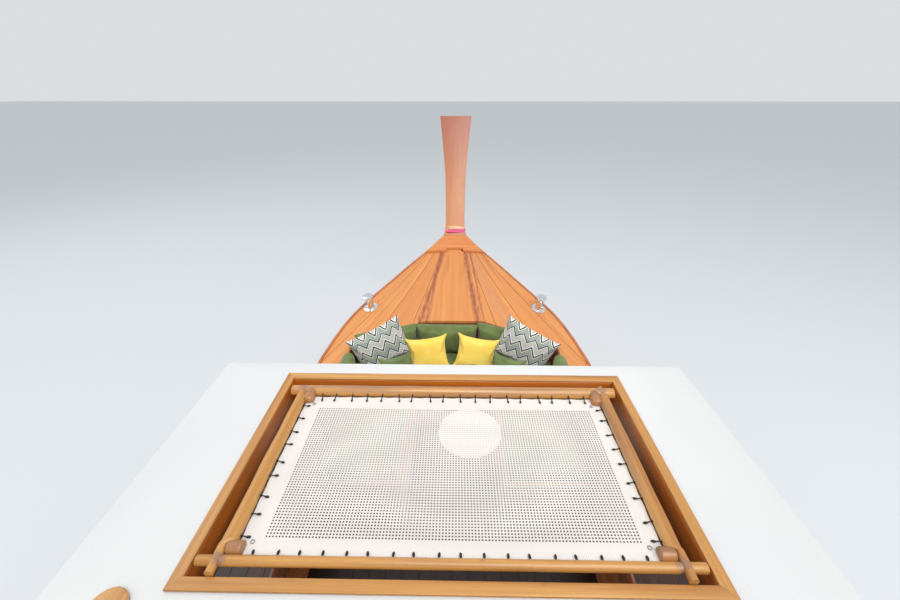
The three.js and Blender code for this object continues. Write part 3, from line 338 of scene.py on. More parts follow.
def sheer_ribbon(tree, place, low, high):
    """Thin satin scarf wound round the stem: bright and pale pink turns below a peach one."""
    fold = add(tree, "Mapping", {
        "Vector": place, "Scale": (per_mm(220), per_mm(220), per_mm(26))}).outputs[0]
    turns = add(tree, "TexNoise", {"Vector": fold, "Scale": 1.0, "Detail": 3.0}).outputs[0]
    height = add(tree, "SeparateXYZ", {0: place}).outputs[2]
    level = add(tree, "MapRange", {0: height, 1: low, 2: high}).outputs[0]
    uneven = add(tree, "Math", {0: turns, 1: 0.24, 2: level}, operation="MULTIPLY_ADD").outputs[0]
    part = add(tree, "Math", {0: uneven, 1: 0.12}, operation="SUBTRACT").outputs[0]
    colour = add(tree, "ValToRGB", {0: part}, [(at, linear(c)) for at, c in RIBBON_BANDS]).outputs[0]
    bump = add(tree, "Bump", {"Strength": 0.5, "Distance": 0.003, "Height": turns}).outputs[0]
    return {"Base Color": colour, "Roughness": 0.45, "Normal": bump, "Sheen Weight": 0.4}


def hull_planking(tree, place, pale, deep, dark, antifouling):
    """Strakes of varnished timber above the water and matte antifouling paint below it."""
    sockets = varnished_wood(tree, place, pale, deep, dark, "GRAIN", 0.6, 0.35)
    height = add(tree, "SeparateXYZ", {0: place}).outputs[2]
    water = add(tree, "MapRange", {0: height, 1: 0.06, 2: 0.064, 3: 1.0, 4: 0.0}).outputs[0]
    sockets["Base Color"] = add(tree, "Mix", {0: water, 6: sockets["Base Color"], 7: antifouling},
                                **COLOUR).outputs[2]
    sockets["Roughness"] = add(tree, "Mix", {0: water, 2: sockets["Roughness"], 3: 0.75}).outputs[0]
    return sockets


def metal(tree, place, colour, grime, low, high, speck):
    """Metal with handling marks: the roughness and tint wander over the surface."""
    mark = add(tree, "TexNoise", {
        "Vector": place, "Scale": per_mm(speck), "Detail": 5.0, "Roughness": 0.65}).outputs[0]
    share = add(tree, "MapRange", {0: mark, 1: 0.5, 2: 0.8, 3: 0.0, 4: 0.6}).outputs[0]
    tint = add(tree, "Mix", {0: share, 6: colour, 7: grime}, **COLOUR).outputs[2]
    rough = add(tree, "MapRange", {0: mark, 3: low, 4: high}).outputs[0]
    bump = add(tree, "Bump", {"Strength": 0.15, "Distance": 0.0004, "Height": mark}).outputs[0]
    return {"Base Color": tint, "Metallic": 1.0, "Roughness": rough, "Normal": bump}


def paint(tree, place, colour, grime, low, high, speck, gloss):
    """Brushed or sprayed paint with dirt in patches and an uneven film."""
    mark = add(tree, "TexNoise", {
        "Vector": place, "Scale": per_mm(speck), "Detail": 6.0, "Roughness": 0.6}).outputs[0]
    share = add(tree, "MapRange", {0: mark, 1: 0.48, 2: 0.72, 3: 0.0, 4: 0.75}).outputs[0]
    tint = add(tree, "Mix", {0: share, 6: colour, 7: grime}, **COLOUR).outputs[2]
    rough = add(tree, "MapRange", {0: mark, 3: low, 4: high}).outputs[0]
    bump = add(tree, "Bump", {"Strength": 0.2, "Distance": 0.0006, "Height": mark}).outputs[0]
    return {"Base Color": tint, "Roughness": rough, "Normal": bump, "Coat Weight": gloss}


def object_mode():
    if bpy.context.mode != "OBJECT":
        bpy.ops.object.mode_set(mode="OBJECT")


def only(*pieces):
    """Selects these pieces alone, the first one active."""
    object_mode()
    bpy.ops.object.select_all(action="DESELECT")
    for piece in pieces:
        piece.select_set(True)
    bpy.context.view_layer.objects.active = pieces[0]


def start(name, kind, **sizes):
    """A primitive at its size and place, with its place in its mesh."""
    object_mode()
    bpy.ops.object.select_all(action="DESELECT")
    getattr(bpy.ops.mesh, f"primitive_{kind}_add")(**sizes)
    piece = bpy.context.active_object
    piece.name = name
    bpy.ops.object.transform_apply(location=True, rotation=True, scale=True)
    return piece


def hoop(name, radius, thickness, around, section):
    """A ring about the z axis; the last two say how many sides it has."""
    return start(name, "torus", major_radius=radius, minor_radius=thickness, major_segments=around,
                 minor_segments=section)


def edit(piece, kind="FACE", test=None):
    """Opens edit mode with the elements that pass the test selected, or all of them."""
    only(piece)
    bpy.ops.object.mode_set(mode="EDIT")
    bpy.ops.mesh.select_mode(type=kind)
    if test is None:
        bpy.ops.mesh.select_all(action="SELECT")
        return
    bpy.ops.mesh.select_all(action="DESELECT")
    mesh = bmesh.from_edit_mesh(piece.data)
    for element in {"FACE": mesh.faces, "EDGE": mesh.edges, "VERT": mesh.verts}[kind]:
        if test(element):
            element.select_set(True)
    bmesh.update_edit_mesh(piece.data)


def modify(piece, kind, **settings):
    """Adds a modifier with its settings and applies it."""
    only(piece)
    added = piece.modifiers.new(kind.lower(), kind)
    for key, value in settings.items():
        setattr(added, key, value)
    bpy.ops.object.modifier_apply(modifier=added.name)


def join(name, pieces):
    only(*pieces)
    if len(pieces) > 1:
        bpy.ops.object.join()
    pieces[0].name = name
    return pieces[0]


def copy_of(node, name):
    """A merged copy of a CAD node's mesh, to be shaped further."""
    piece = bpy.data.objects.new(name, NODES[node].data.copy())
    bpy.context.scene.collection.objects.link(piece)
    piece.data.materials.clear()
    only(piece)
    if piece.data.has_custom_normals:
        bpy.ops.mesh.customdata_custom_splitnormals_clear()
    edit(piece)
    bpy.ops.mesh.remove_doubles(threshold=0.00002)
    bpy.ops.mesh.dissolve_limited(angle_limit=0.005)
    object_mode()
    return piece


def again(piece, name, matrix):
    """Another copy of a finished shape, with its own mesh, moved into place."""
    copied = bpy.data.objects.new(name, piece.data.copy())
    bpy.context.scene.collection.objects.link(copied)
    copied.data.transform(matrix)
    if matrix.determinant() < 0:
        copied.data.flip_normals()
    return copied


def ease(piece, offset, segments=3, sharp=1.0):
    """Rounds the edges whose faces meet at more than the sharp angle, in radians."""
    edit(piece, "EDGE", lambda e: len(e.link_faces) == 2 and e.calc_face_angle(0) > sharp)
    bpy.ops.mesh.bevel(offset=offset, segments=segments)
    object_mode()


def dress(piece, finish, body="hull", stands_for=(), angle=30.0):
    """Gives a finished piece its finish or finishes, shading and body."""
    only(piece)
    bpy.ops.object.transform_apply(location=True, rotation=True, scale=True)
    keys = [finish] if isinstance(finish, str) else finish
    kept = [min(face.material_index, len(keys) - 1) for face in piece.data.polygons]
    piece.data.materials.clear()
    for key in keys:
        piece.data.materials.append(FINISHES[key])
    piece.data.polygons.foreach_set("material_index", kept)
    bpy.ops.object.shade_smooth_by_angle(angle=math.radians(angle))
    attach(piece, body)
    if stands_for:
        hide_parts(*stands_for)
    return piece


def board(node, name, finish, slot, edge, segments=3, sharp=1.0, angle=30.0):
    """A CAD node's shape with its edges eased, as a finished piece that replaces it."""
    piece = copy_of(node, name)
    ease(piece, edge, segments, sharp)
    return dress(piece, finish, stands_for=[node], angle=angle)


def cover(names, finish):
    """A better material on CAD nodes whose shape stays."""
    for name in names:
        for slot in NODES[name].material_slots:
            slot.material = FINISHES[finish]


def block(name, low, high, edge=0.004, segments=2):
    """A board or casting between two corners, with its edges eased."""
    low = Vector(low)
    high = Vector(high)
    piece = start(name, "cube", size=1, location=(low + high) / 2, scale=high - low)
    edit(piece)
    bpy.ops.mesh.bevel(offset=edge, segments=segments)
    object_mode()
    return piece


def facing(place, direction):
    """Turns a shape's z axis to the direction and moves it to the place."""
    return Matrix.Translation(place) @ Vector(direction).to_track_quat("Z", "Y").to_matrix().to_4x4()


def rod(name, path_start, path_end, radius, sides=16, end_radius=None, edge=0.0):
    """A round bar from one point to another."""
    foot = Vector(path_start)
    along = Vector(path_end) - foot
    piece = start(name, "cone", vertices=sides, radius1=radius, depth=along.length,
                  radius2=radius if end_radius is None else end_radius)
    if edge:
        edit(piece, "FACE", lambda f: abs(f.normal.z) > 0.9)
        bpy.ops.mesh.bevel(offset=edge, segments=3)
        object_mode()
    piece.data.transform(facing(foot + along / 2, along))
    return piece


def turned(name, profile, sides, matrix=None):
    """A body of revolution: a disc extruded and resized row by row; rows are radius and height."""
    radius, height = profile[0]
    piece = start(name, "circle", vertices=sides, radius=radius, fill_type="NGON", location=(0, 0, height))
    edit(piece)
    for next_radius, next_height in profile[1:]:
        bpy.ops.mesh.extrude_region_move(TRANSFORM_OT_translate={"value": (0, 0, next_height - height)})
        scale = next_radius / radius
        bpy.ops.transform.resize(value=(scale, scale, 1), center_override=(0, 0, next_height))
        radius, height = next_radius, next_height
    bpy.ops.mesh.select_all(action="SELECT")
    bpy.ops.mesh.normals_make_consistent(inside=False)
    object_mode()
    if matrix is not None:
        piece.data.transform(matrix)
    return piece


def swept(name, path, radius, sides=8, cyclic=False, radii=None):
    """A round tube along a smooth path, made a mesh."""
    curve = bpy.data.curves.new(name, "CURVE")
    curve.dimensions = "3D"
    curve.bevel_depth = radius
    curve.bevel_resolution = max(0, sides // 4 - 1)
    curve.use_fill_caps = True
    spline = curve.splines.new("POLY")
    spline.points.add(len(path) - 1)
    for i, point in enumerate(path):
        spline.points[i].co = (*point, 1.0)
        if radii:
            spline.points[i].radius = radii[i]
    spline.use_cyclic_u = cyclic
    piece = bpy.data.objects.new(name, curve)
    bpy.context.scene.collection.objects.link(piece)
    only(piece)
    bpy.ops.object.convert(target="MESH")
    return bpy.context.active_object


def rounded(points, steps=6):
    """A smooth curve through the points."""
    points = [Vector(p) for p in points]
    line = []
    for i in range(len(points) - 1):
        a = points[max(0, i - 1)]
        b = points[i]
        c = points[i + 1]
        d = points[min(len(points) - 1, i + 2)]
        for k in range(steps):
            t = k / steps
            line.append(0.5 * (2 * b + (c - a) * t + (2 * a - 5 * b + 4 * c - d) * t * t
                               + (3 * b - a - 3 * c + d) * t ** 3))
    line.append(points[-1])
    return line


def slice_off(piece, point, normal):
    """Cuts the piece by a plane, drops what lies on the normal's side and closes the cut."""
    edit(piece)
    bpy.ops.mesh.bisect(plane_co=point, plane_no=normal, use_fill=True, clear_outer=True)
    object_mode()


def score(piece, point, normal):
    """Cuts the faces along a plane and keeps both sides."""
    edit(piece)
    bpy.ops.mesh.bisect(plane_co=point, plane_no=normal)
    object_mode()


def surface_of(names):
    """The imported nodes' faces as one searchable surface."""
    corners = []
    faces = []
    for name in names:
        mesh = NODES[name].data
        first = len(corners)
        corners.extend(vertex.co.copy() for vertex in mesh.vertices)
        faces.extend(tuple(first + i for i in face.vertices) for face in mesh.polygons)
    return BVHTree.FromPolygons(corners, faces)


DECKS = surface_of(("side_deck_port", "side_deck_starboard", "foredeck_port", "foredeck_starboard",
                    "king_plank"))


def deck_height(x, y):
    """Height of the deck's top at a place in plan."""
    place = DECKS.ray_cast(Vector((x, y, 4.0)), Vector((0, 0, -1)))[0]
    if place is None:
        raise ValueError(f"no deck at {x}, {y}")
    return place.z


def tone(number):
    """A steady tone between 0 and 1 for a plank's number."""
    return (math.sin(number * 12.9898 + 4.1) * 43758.5453) % 1.0


def lay_grain(piece, place):
    """Writes the grain's map and each plank's tone; place gives along, across and plank number."""
    mesh = piece.data
    layer = mesh.uv_layers.get("grain") or mesh.uv_layers.new(name="grain")
    planks = mesh.attributes.get("plank") or mesh.attributes.new("plank", "FLOAT", "FACE")
    for face in mesh.polygons:
        number = place(face.center)[2]
        planks.data[face.index].value = tone(number)
        for loop in face.loop_indices:
            co = mesh.vertices[mesh.loops[loop].vertex_index].co
            along, across, _ = place(co)
            layer.data[loop].uv = (along, across)


def groove(piece, seams, width, depth):
    """Cuts caulked seams into the top of a planked surface; a seam is two points in plan."""
    for first, last in seams:
        run = Vector((last[0] - first[0], last[1] - first[1], 0)).normalized()
        side = Vector((-run.y, run.x, 0))
        middle = Vector((first[0], first[1], 0))
        for offset in (-width / 2, width / 2):
            score(piece, middle + side * offset, side)

        def on_seam(face):
            centre = face.calc_center_median() - middle
            return face.normal.z > 0.6 and abs(centre.dot(side)) < width * 0.45

        edit(piece, "FACE", on_seam)
        bpy.ops.mesh.extrude_region_move(TRANSFORM_OT_translate={"value": (0, 0, -depth)})
        object_mode()
        mesh = piece.data
        for face in mesh.polygons:
            if face.select:
                face.material_index = 1


def colour_of(name, description, default):
    return FloatVectorProperty(name=name, description=description, subtype="COLOR", size=4,
                               min=0.0, max=1.0, default=linear(default))


def length_of(name, description, default):
    return FloatProperty(name=name, description=description, unit="LENGTH", min=0.0, default=default)


class BoatTimber(bpy.types.PropertyGroup):
    deck: colour_of("Deck", "Pale tone of the deck planks", "#E9A35C")
    deck_deep: colour_of("Deck deep", "Deep tone of the deck planks", "#D38447")
    deck_streak: colour_of("Deck streak", "Dark stains along the deck's seams", "#9A5040")
    stem: colour_of("Stem", "Pale tone of the stem post", "#D79260")
    stem_deep: colour_of("Stem deep", "Deep tone of the stem post", "#C98256")
    coaming: colour_of("Coaming", "Pale tone of the roof coaming and poles", "#D09B52")
    coaming_deep: colour_of("Coaming deep", "Deep tone of the roof coaming and poles", "#9E6225")
    worn: colour_of("Worn wood", "Grey brown wood where the varnish is gone", "#8F6A5C")
    hull: colour_of("Hull", "Pale tone of the hull planking", "#B06A3A")
    hull_deep: colour_of("Hull deep", "Deep tone of the hull planking", "#8A4A28")


class BoatCloth(bpy.types.PropertyGroup):
    green: colour_of("Green canvas", "Lounge cushions and small pillows", "#70814A")
    green_deep: colour_of("Green canvas deep", "Uneven dye of the green canvas", "#5B6C39")
    yellow: colour_of("Yellow canvas", "Plain pillows", "#FFE06C")
    yellow_deep: colour_of("Yellow canvas deep", "Uneven dye of the yellow canvas", "#FFD24E")
    net: colour_of("Net", "Coated mesh of the sun net", "#DDD7D2")
    # The bench cloth is near black with painted shade
    bench: colour_of("Bench cloth", "Green cloth of the cabin benches, near black with painted shade", "#22272A")


class BoatPaint(bpy.types.PropertyGroup):
    panel: colour_of("Panel", "White skin of the roof panel", "#D4D4D3")
    panel_dust: colour_of("Panel dust", "Faint dust on the roof panel", "#C8CACC")
    antifouling: colour_of("Underwater paint", "Hull below the waterline", "#7A2B22")
    engine: colour_of("Engine enamel", "Cast iron block of the engine", "#3B617E")


class BoatSizes(bpy.types.PropertyGroup):
    seam_width: length_of("Seam width", "Width of the deck's caulked seams", 0.006)
    seam_depth: length_of("Seam depth", "Depth of the deck's caulked seams", 0.005)
    net_web: length_of("Net web", "Half the width of the web between two holes", 0.0028)
    net_thickness: length_of("Net thickness", "Thickness of the coated mesh", 0.0014)
    lashing: length_of("Lashing", "Radius of the cord that holds the net", 0.0024)
    knot: length_of("Knot", "Radius of the knots on the net", 0.0053)
    pillow_pull: FloatProperty(name="Pillow pull", min=0.0, max=0.2, default=0.10,
                               description="How far a pillow's sides pull in, of its size")
    cloth_frames: IntProperty(name="Cloth frames", description="Steps that fill a cushion", min=2, max=60,
                              default=20)


class BOAT_OT_finishes(bpy.types.Operator):
    """Makes the materials of the boat's timbers, cloths, paints and metals"""

    bl_idname = "boat.finishes"
    bl_label = "Finishes"

    def execute(self, context):
        timber = context.scene.boat_timber
        cloth = context.scene.boat_cloth
        colours = context.scene.boat_paint
        teak = (timber.deck, timber.deck_deep, timber.deck_streak)
        pale = (timber.coaming, timber.coaming_deep, "#7A4630")
        pole = (timber.coaming, timber.coaming_deep, timber.worn)
        oiled = ("#A1613B", "#7C452A", "#5A2E1C")
        shaded = (graded_wood, "#DB7C22", "#A8510F", "#5A2E1C")
        # Painted shade for the lining: towards its bottom edge its tone turns to a near black brown
        painted_shade_under_roof = (0.5, 0.04, "#4A1A08", 2.49, 2.37, 0.9)
        for key, *recipe in (
                # Oiled and varnished teak: warm orange, dark stains near some seams, glossy in places
                ("deck", "Varnished teak planks", stained_planks, *teak),
                ("stem", "Varnished stem timber", graded_wood, timber.stem, timber.stem_deep,
                 timber.deck_streak, "STEM", 0.2, 0.15, "#AD6552", 2.4, 3.3, 0.80),
                ("coaming_x", "Varnished pale teak along", varnished_wood, *pale, "X", 0.45, 0.45),
                ("coaming_y", "Varnished pale teak across", varnished_wood, *pale, "Y", 0.45, 0.45),
                ("coaming_z", "Varnished pale teak upright", varnished_wood, *pale, "Z", 0.45, 0.45),
                # The lining gets no sun: its deep red brown, darkening further towards its bottom edge by
                # the pole, is painted shade
                ("lining_x", "Shaded lining X", *shaded, "X", *painted_shade_under_roof),
                ("lining_y", "Shaded lining Y", *shaded, "Y", *painted_shade_under_roof),
                ("pole_x", "Turned pole along", weathered_pole, *pole, "X"),
                ("pole_y", "Turned pole across", weathered_pole, *pole, "Y"),
                # Sawn ends of the frame: varnish mostly gone, grey and brown in turn
                ("stub", "Worn pole end", varnished_wood, "#B57B45", "#8E664A", "#6E5648", "Y", 0.8, 0.3),
                ("dark_x", "Oiled dark timber along", varnished_wood, *oiled, "X", 0.5, 0.1),
                ("dark_y", "Oiled dark timber across", varnished_wood, *oiled, "Y", 0.5, 0.1),
                # Side decks under the roof: their dark brown is painted shade
                ("side", "Oiled teak side deck", varnished_wood, "#43261A", "#2A1710", "#5A2E1C", "GRAIN",
                 0.6, 0.0),
                # Bench fronts in the shade of the cabin
                ("bench_wood", "Shaded bench timber", varnished_wood, "#43281C", "#2B1812", "#5A2E1C", "X",
                 0.5, 0.0),
                # Rail and breasthook: older varnish, redder than the planks
                ("rail", "Red brown rail timber", varnished_wood, "#CC7C4C", "#AC5C34", "#5A2E1C", "X",
                 0.5, 0.6),
                ("hook", "Varnished breasthook", varnished_wood, "#E5924F", "#CE7A42", timber.deck_streak,
                 "Y", 0.3, 0.3),
                # Cabin floor: nearly black with painted shade
                ("sole", "Oiled dark floor boards", varnished_wood, "#3A2116", "#22120C", "#120A08", "GRAIN",
                 0.5, 0.05),
                ("hull", "Varnished hull planking", hull_planking, timber.hull, timber.hull_deep, "#5A2E1C",
                 colours.antifouling),
                # Polysulphide caulking, coloured to the timber
                ("caulk", "Brown deck caulking", paint, "#9A5A38", "#6E3F2A", 0.5, 0.7, 60, 0.0),
                ("panel", "White gelcoat", gelcoat, colours.panel, colours.panel_dust),
                ("laminate", "White laminate", gelcoat, "#F4F2EE", "#E4E2DC"),
                # Coated polyester mesh: matte white, threads about 1 mm, drawn at 3 mm
                ("net", "Coated polyester mesh", woven_cloth, cloth.net, "#DED7D1", 3.0, 0.05),
                # Acrylic canvas, threads about 1 mm, drawn at 5 mm so that they show
                ("green", "Green acrylic canvas", woven_cloth, cloth.green, cloth.green_deep, 5.0, 0.25),
                ("yellow", "Yellow cotton canvas", woven_cloth, cloth.yellow, cloth.yellow_deep, 5.0, 0.2),
                ("chevron", "Woven zigzag cloth", chevron_cloth),
                # The cabin bench cloth is near black: painted shade
                ("bench", "Deep green acrylic canvas", woven_cloth, cloth.bench, "#1C2022", 5.0, 0.2),
                ("ribbon", "Satin scarf", sheer_ribbon, 1.896, 1.998),
                ("cord", "Braided shock cord", paint, "#1C1A1A", "#3A3634", 0.6, 0.85, 4, 0.0),
                # Polished marine steel: bright, with salt spots
                ("steel", "Polished stainless steel", metal, "#E6E7E8", "#B9B6B0", 0.08, 0.22, 18),
                ("alloy", "Cast aluminium", metal, "#B4B6B8", "#7C7A76", 0.38, 0.6, 9),
                ("bronze", "Cast bronze", metal, "#C29A54", "#6F6A48", 0.25, 0.5, 16),
                ("enamel", "Engine enamel", paint, colours.engine, "#26323A", 0.35, 0.65, 60, 0.1),
                ("black", "Satin black steel", paint, "#2B2C2E", "#4C4238", 0.35, 0.6, 45, 0.05),
                # Bare exhaust steel, browned by heat
                ("rust", "Heat browned steel", paint, "#6B4636", "#3A2A24", 0.6, 0.85, 30, 0.0),
                ("rubber", "Moulded rubber", paint, "#1E1E1F", "#35332F", 0.6, 0.85, 25, 0.0)):
            FINISHES[key] = finish_material(*recipe)
        return {"FINISHED"}


class BOAT_OT_stage(bpy.types.Operator):
    """Pale floor at the waterline, soft light from above and the camera over the roof"""

    bl_idname = "boat.stage"
    bl_label = "Stage"

    def execute(self, context):
        scene = context.scene
        scene.view_settings.view_transform = "Standard"
        lens = bpy.data.cameras.new("camera")
        lens.lens = CAMERA_LENS
        lens.sensor_width = 36.0
        lens.clip_end = 500.0
        camera = bpy.data.objects.new("camera", lens)
        scene.collection.objects.link(camera)
        camera.location = CAMERA_PLACE
        camera.rotation_euler = (math.radians(90 - CAMERA_PITCH), 0, math.radians(-90 + CAMERA_HEADING))
        scene.camera = camera

        world = bpy.data.worlds.new("overcast")
        world.use_nodes = True
        tree = world.node_tree
        tree.nodes.clear()
        sky = add(tree, "Background", {"Color": linear("#F2F4F6"), "Strength": 0.80})
        add(tree, "OutputWorld", {"Surface": sky.outputs[0]})
        scene.world = world
        for name, place, aim, size, power, spread in (
                ("key", (-4.5, -4, 14), (0, 0, 1), 10, 1250, 180),
                ("fill", (6, 12, 13), (0, 0, 1), 12, 450, 180),
                ("lounge", (-0.6, 0, 7.2), (4.1, 0, 1.1), 2, 8.5, 46)):
            lamp = bpy.data.lights.new(name, "AREA")
            lamp.size = size
            lamp.energy = power
            lamp.spread = math.radians(spread)
            light = bpy.data.objects.new(name, lamp)
            scene.collection.objects.link(light)
            light.location = place
            light.rotation_euler = (Vector(place) - Vector(aim)).to_track_quat("Z", "Y").to_euler()

        floor = start("floor", "plane", size=240, location=(0, 0, 0))
        floor.data.materials.append(finish_material(
            "Matte studio floor", studio_floor, "#DCE0E3"))
        return {"FINISHED"}


class BOAT_OT_roof(bpy.types.Operator):
    """Roof panel with eased edges, its screws, the step pad and the hoops that carry it"""

    bl_idname = "boat.roof"
    bl_label = "Roof"

    def execute(self, context):
        board("roof_panel", "roof_skin", "panel", "white_panel", 0.004)
        board("roof_step_pad", "step_pad_board", "coaming_x", "teak", 0.005)

        low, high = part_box("roof_panel")
        head = ((0.004, 0.0), (0.004, 0.0005), (0.0025, 0.0008), (0.0004, 0.0008))
        screw = turned("roof_screws", head, 10)
        screws = []
        for side in (-1, 1):
            for i in range(19):
                place = (low.x + 0.12 + i * (high.x - low.x - 0.24) / 18, side * (high.y - 0.045), high.z)
                screws.append(again(screw, "screw", Matrix.Translation(place)))
        for i in range(8):
            for x in (low.x + 0.05, high.x - 0.05):
                place = (x, (i - 3.5) * 0.32, high.z)
                screws.append(again(screw, "screw", Matrix.Translation(place)))
        bpy.data.objects.remove(screw)
        dress(join("roof_screws", screws), "panel")

        for number in range(1, 5):
            node = f"roof_hoop_{number}"
            arch = copy_of(node, f"hoop_frame_{number}")
            ease(arch, 0.004, 2, 1.2)
            for face in arch.data.polygons:
                face.material_index = 0 if face.center.z > 2.349 else 1
            dress(arch, ["coaming_y", "coaming_z"], stands_for=[node])
            foot_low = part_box(node)[0]
            x = (foot_low.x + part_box(node)[1].x) / 2
            feet = []
            for side in (-1, 1):
                foot = turned("foot", ((0.062, 0.0), (0.062, 0.006), (0.040, 0.012), (0.036, 0.055),
                                       (0.0305, 0.058)), 24)
                foot.data.transform(Matrix.Translation((x, side * 1.246, deck_height(x, 1.246))))
                feet.append(foot)
            dress(join(f"hoop_sockets_{number}", feet), "black")
        return {"FINISHED"}


class BOAT_OT_coaming(bpy.types.Operator):
    """Mitred coaming boards and lining round the opening, and the four round poles"""

    bl_idname = "boat.coaming"
    bl_label = "Coaming and poles"

    def execute(self, context):
        aft, fore, half = COAMING_OUTER
        inner_aft, inner_fore, inner_half = COAMING_INNER
        low, seat, top = COAMING_HEIGHTS
        boards = []
        for side in (-1, 1):
            ys = sorted((side * half, side * inner_half))
            plank = block("board", (aft, ys[0], seat), (fore, ys[1], top), 0.004, 3)
            for corner, across, along in ((aft, inner_half - half, inner_aft - aft),
                                          (fore, half - inner_half, fore - inner_fore)):
                slice_off(plank, (corner, side * half, top), Vector((across, -side * along, 0)))
            boards.append(plank)
        dress(join("coaming_side_boards", boards), "coaming_x",
              stands_for=["net_coaming"])
        ends = []
        for x0, x1, turn in ((aft, inner_aft, -1), (inner_fore, fore, 1)):
            plank = block("board", (x0, -half, seat), (x1, half, top), 0.004, 3)
            corner = aft if turn < 0 else fore
            width = x1 - x0
            for side in (-1, 1):
                normal = Vector((-turn * (half - inner_half), side * width, 0))
                slice_off(plank, (corner, side * (half - 0.0012), top), normal)
            ends.append(plank)
        dress(join("coaming_end_boards", ends), "coaming_y")

        l_aft, l_fore, l_half = LINING_OUTER
        sides = [block("lining", (l_aft, min(s * l_half, s * inner_half), low),
                       (l_fore, max(s * l_half, s * inner_half), seat), 0.002, 1) for s in (-1, 1)]
        dress(join("lining_sides", sides), "lining_x")
        ends = [block("lining", (a, -inner_half, low), (b, inner_half, seat), 0.002, 1)
                for a, b in ((l_aft, inner_aft), (inner_fore, l_fore))]
        dress(join("lining_ends", ends), "lining_y")

        poles = []
        axis = POLE_HEIGHT + 0.004
        for side in (-1, 1):
            pole = rod("pole", (inner_aft + 0.001, side * POLE_SIDE, axis),
                       (1.606 - side * 0.006, side * POLE_SIDE, axis), POLE_RADIUS - 0.0035, 24)
            edit(pole, "EDGE", lambda e: abs((e.verts[0].co - e.verts[1].co).x) > 0.5)
            bpy.ops.mesh.subdivide(number_cuts=96)
            object_mode()
            for vertex in pole.data.vertices:
                x, y, z = vertex.co
                swell = 1 + 0.07 * noise(vertex.co * 9)
                out = (y * side - POLE_SIDE) * swell
                rise = (z - axis) * swell
                # Each end is cut down to a tongue that lies over the cross pole
                aft_end = min(1, max(0, (0.803 - x) / 0.008))
                fore_end = min(1, max(0, (x - 1.552) / 0.008))
                out += aft_end * (0.013 - 0.42 * out) - fore_end * 0.5 * out
                rise += max(aft_end, fore_end) * (0.006 - 0.35 * rise)
                bend = 0.003 * noise(Vector((x * 4, side * 5, 0)))
                vertex.co = (x, side * (POLE_SIDE + out + bend), axis + rise)
            poles.append(pole)
        dress(join("net_poles_side", poles), "pole_x", stands_for=["net_frame"], angle=50)
        poles = []
        for x, radius, short in ((POLE_AFT, POLE_AFT_RADIUS, 0.012), (POLE_FORE, POLE_RADIUS, 0.031)):
            pole = rod("pole", (x, short - inner_half, POLE_HEIGHT), (x, inner_half - short, POLE_HEIGHT),
                       radius - 0.0008, 24, edge=0.004)
            edit(pole, "EDGE", lambda e: abs((e.verts[0].co - e.verts[1].co).y) > 0.5)
            bpy.ops.mesh.subdivide(number_cuts=60)
            object_mode()
            for vertex in pole.data.vertices:
                centre = Vector((x, vertex.co.y, POLE_HEIGHT))
                vertex.co = centre + (vertex.co - centre) * (1 + 0.04 * noise(vertex.co * 9))
                # The front pole's ends are halved from below
                rise = vertex.co.z - POLE_HEIGHT
                if x == POLE_FORE and abs(vertex.co.y) > 0.79 and rise < -0.004:
                    vertex.co.z = POLE_HEIGHT - 0.004
            poles.append(pole)
        dress(join("net_poles_end", poles), "pole_y", angle=50)
        stubs = []
        for side in (-1, 1):
            stubs.append(rod("stub", (1.502, side * 0.7185, POLE_HEIGHT - 0.001),
                             (1.586, side * 0.7185, POLE_HEIGHT + 0.007), 0.0275, 24, edge=0.018))
            stubs.append(rod("stub", (0.789, side * 0.756, POLE_HEIGHT + 0.001),
                             (0.789, side * 0.701, POLE_HEIGHT + 0.001), 0.025, 24, edge=0.007))
        dress(join("pole_stubs", stubs), "stub", angle=50)
        return {"FINISHED"}


def net_sag(x, y):
    """The net's shape between its lashings: a shallow sag with slow waves."""
    aft, fore, half = NET_EDGE
    along = math.sin(math.pi * min(1, max(0, (x - aft) / (fore - aft))))
    across = math.cos(math.pi * 0.5 * min(1, abs(y) / half))
    wave = noise(Vector((x * 5, y * 3.2, 2.0))) * 0.004
    return (-0.012 * across + wave) * along


def lashing(radius, knot_radius, inset, pole_radius, first_turn):
    """A long knot on the net and its cord, which climbs a pole on the x axis and goes under it."""
    path = [(0, -inset, 0.0), (0, -inset + 0.008, 0.001)]
    for k in range(8):
        turn = math.radians(first_turn + k * 18)
        path.append((0, (pole_radius + 0.0005) * math.cos(turn), (pole_radius + 0.0005) * math.sin(turn)))
    cord = swept("cord", path, radius, 8)
    centre = (0, -inset, 0.0)
    knot = start("knot", "uv_sphere", segments=10, ring_count=7, radius=knot_radius, location=centre)
    edit(knot)
    bpy.ops.transform.resize(value=(0.95, 1.8, 0.8), center_override=centre)
    return join("toggle", [knot, cord])


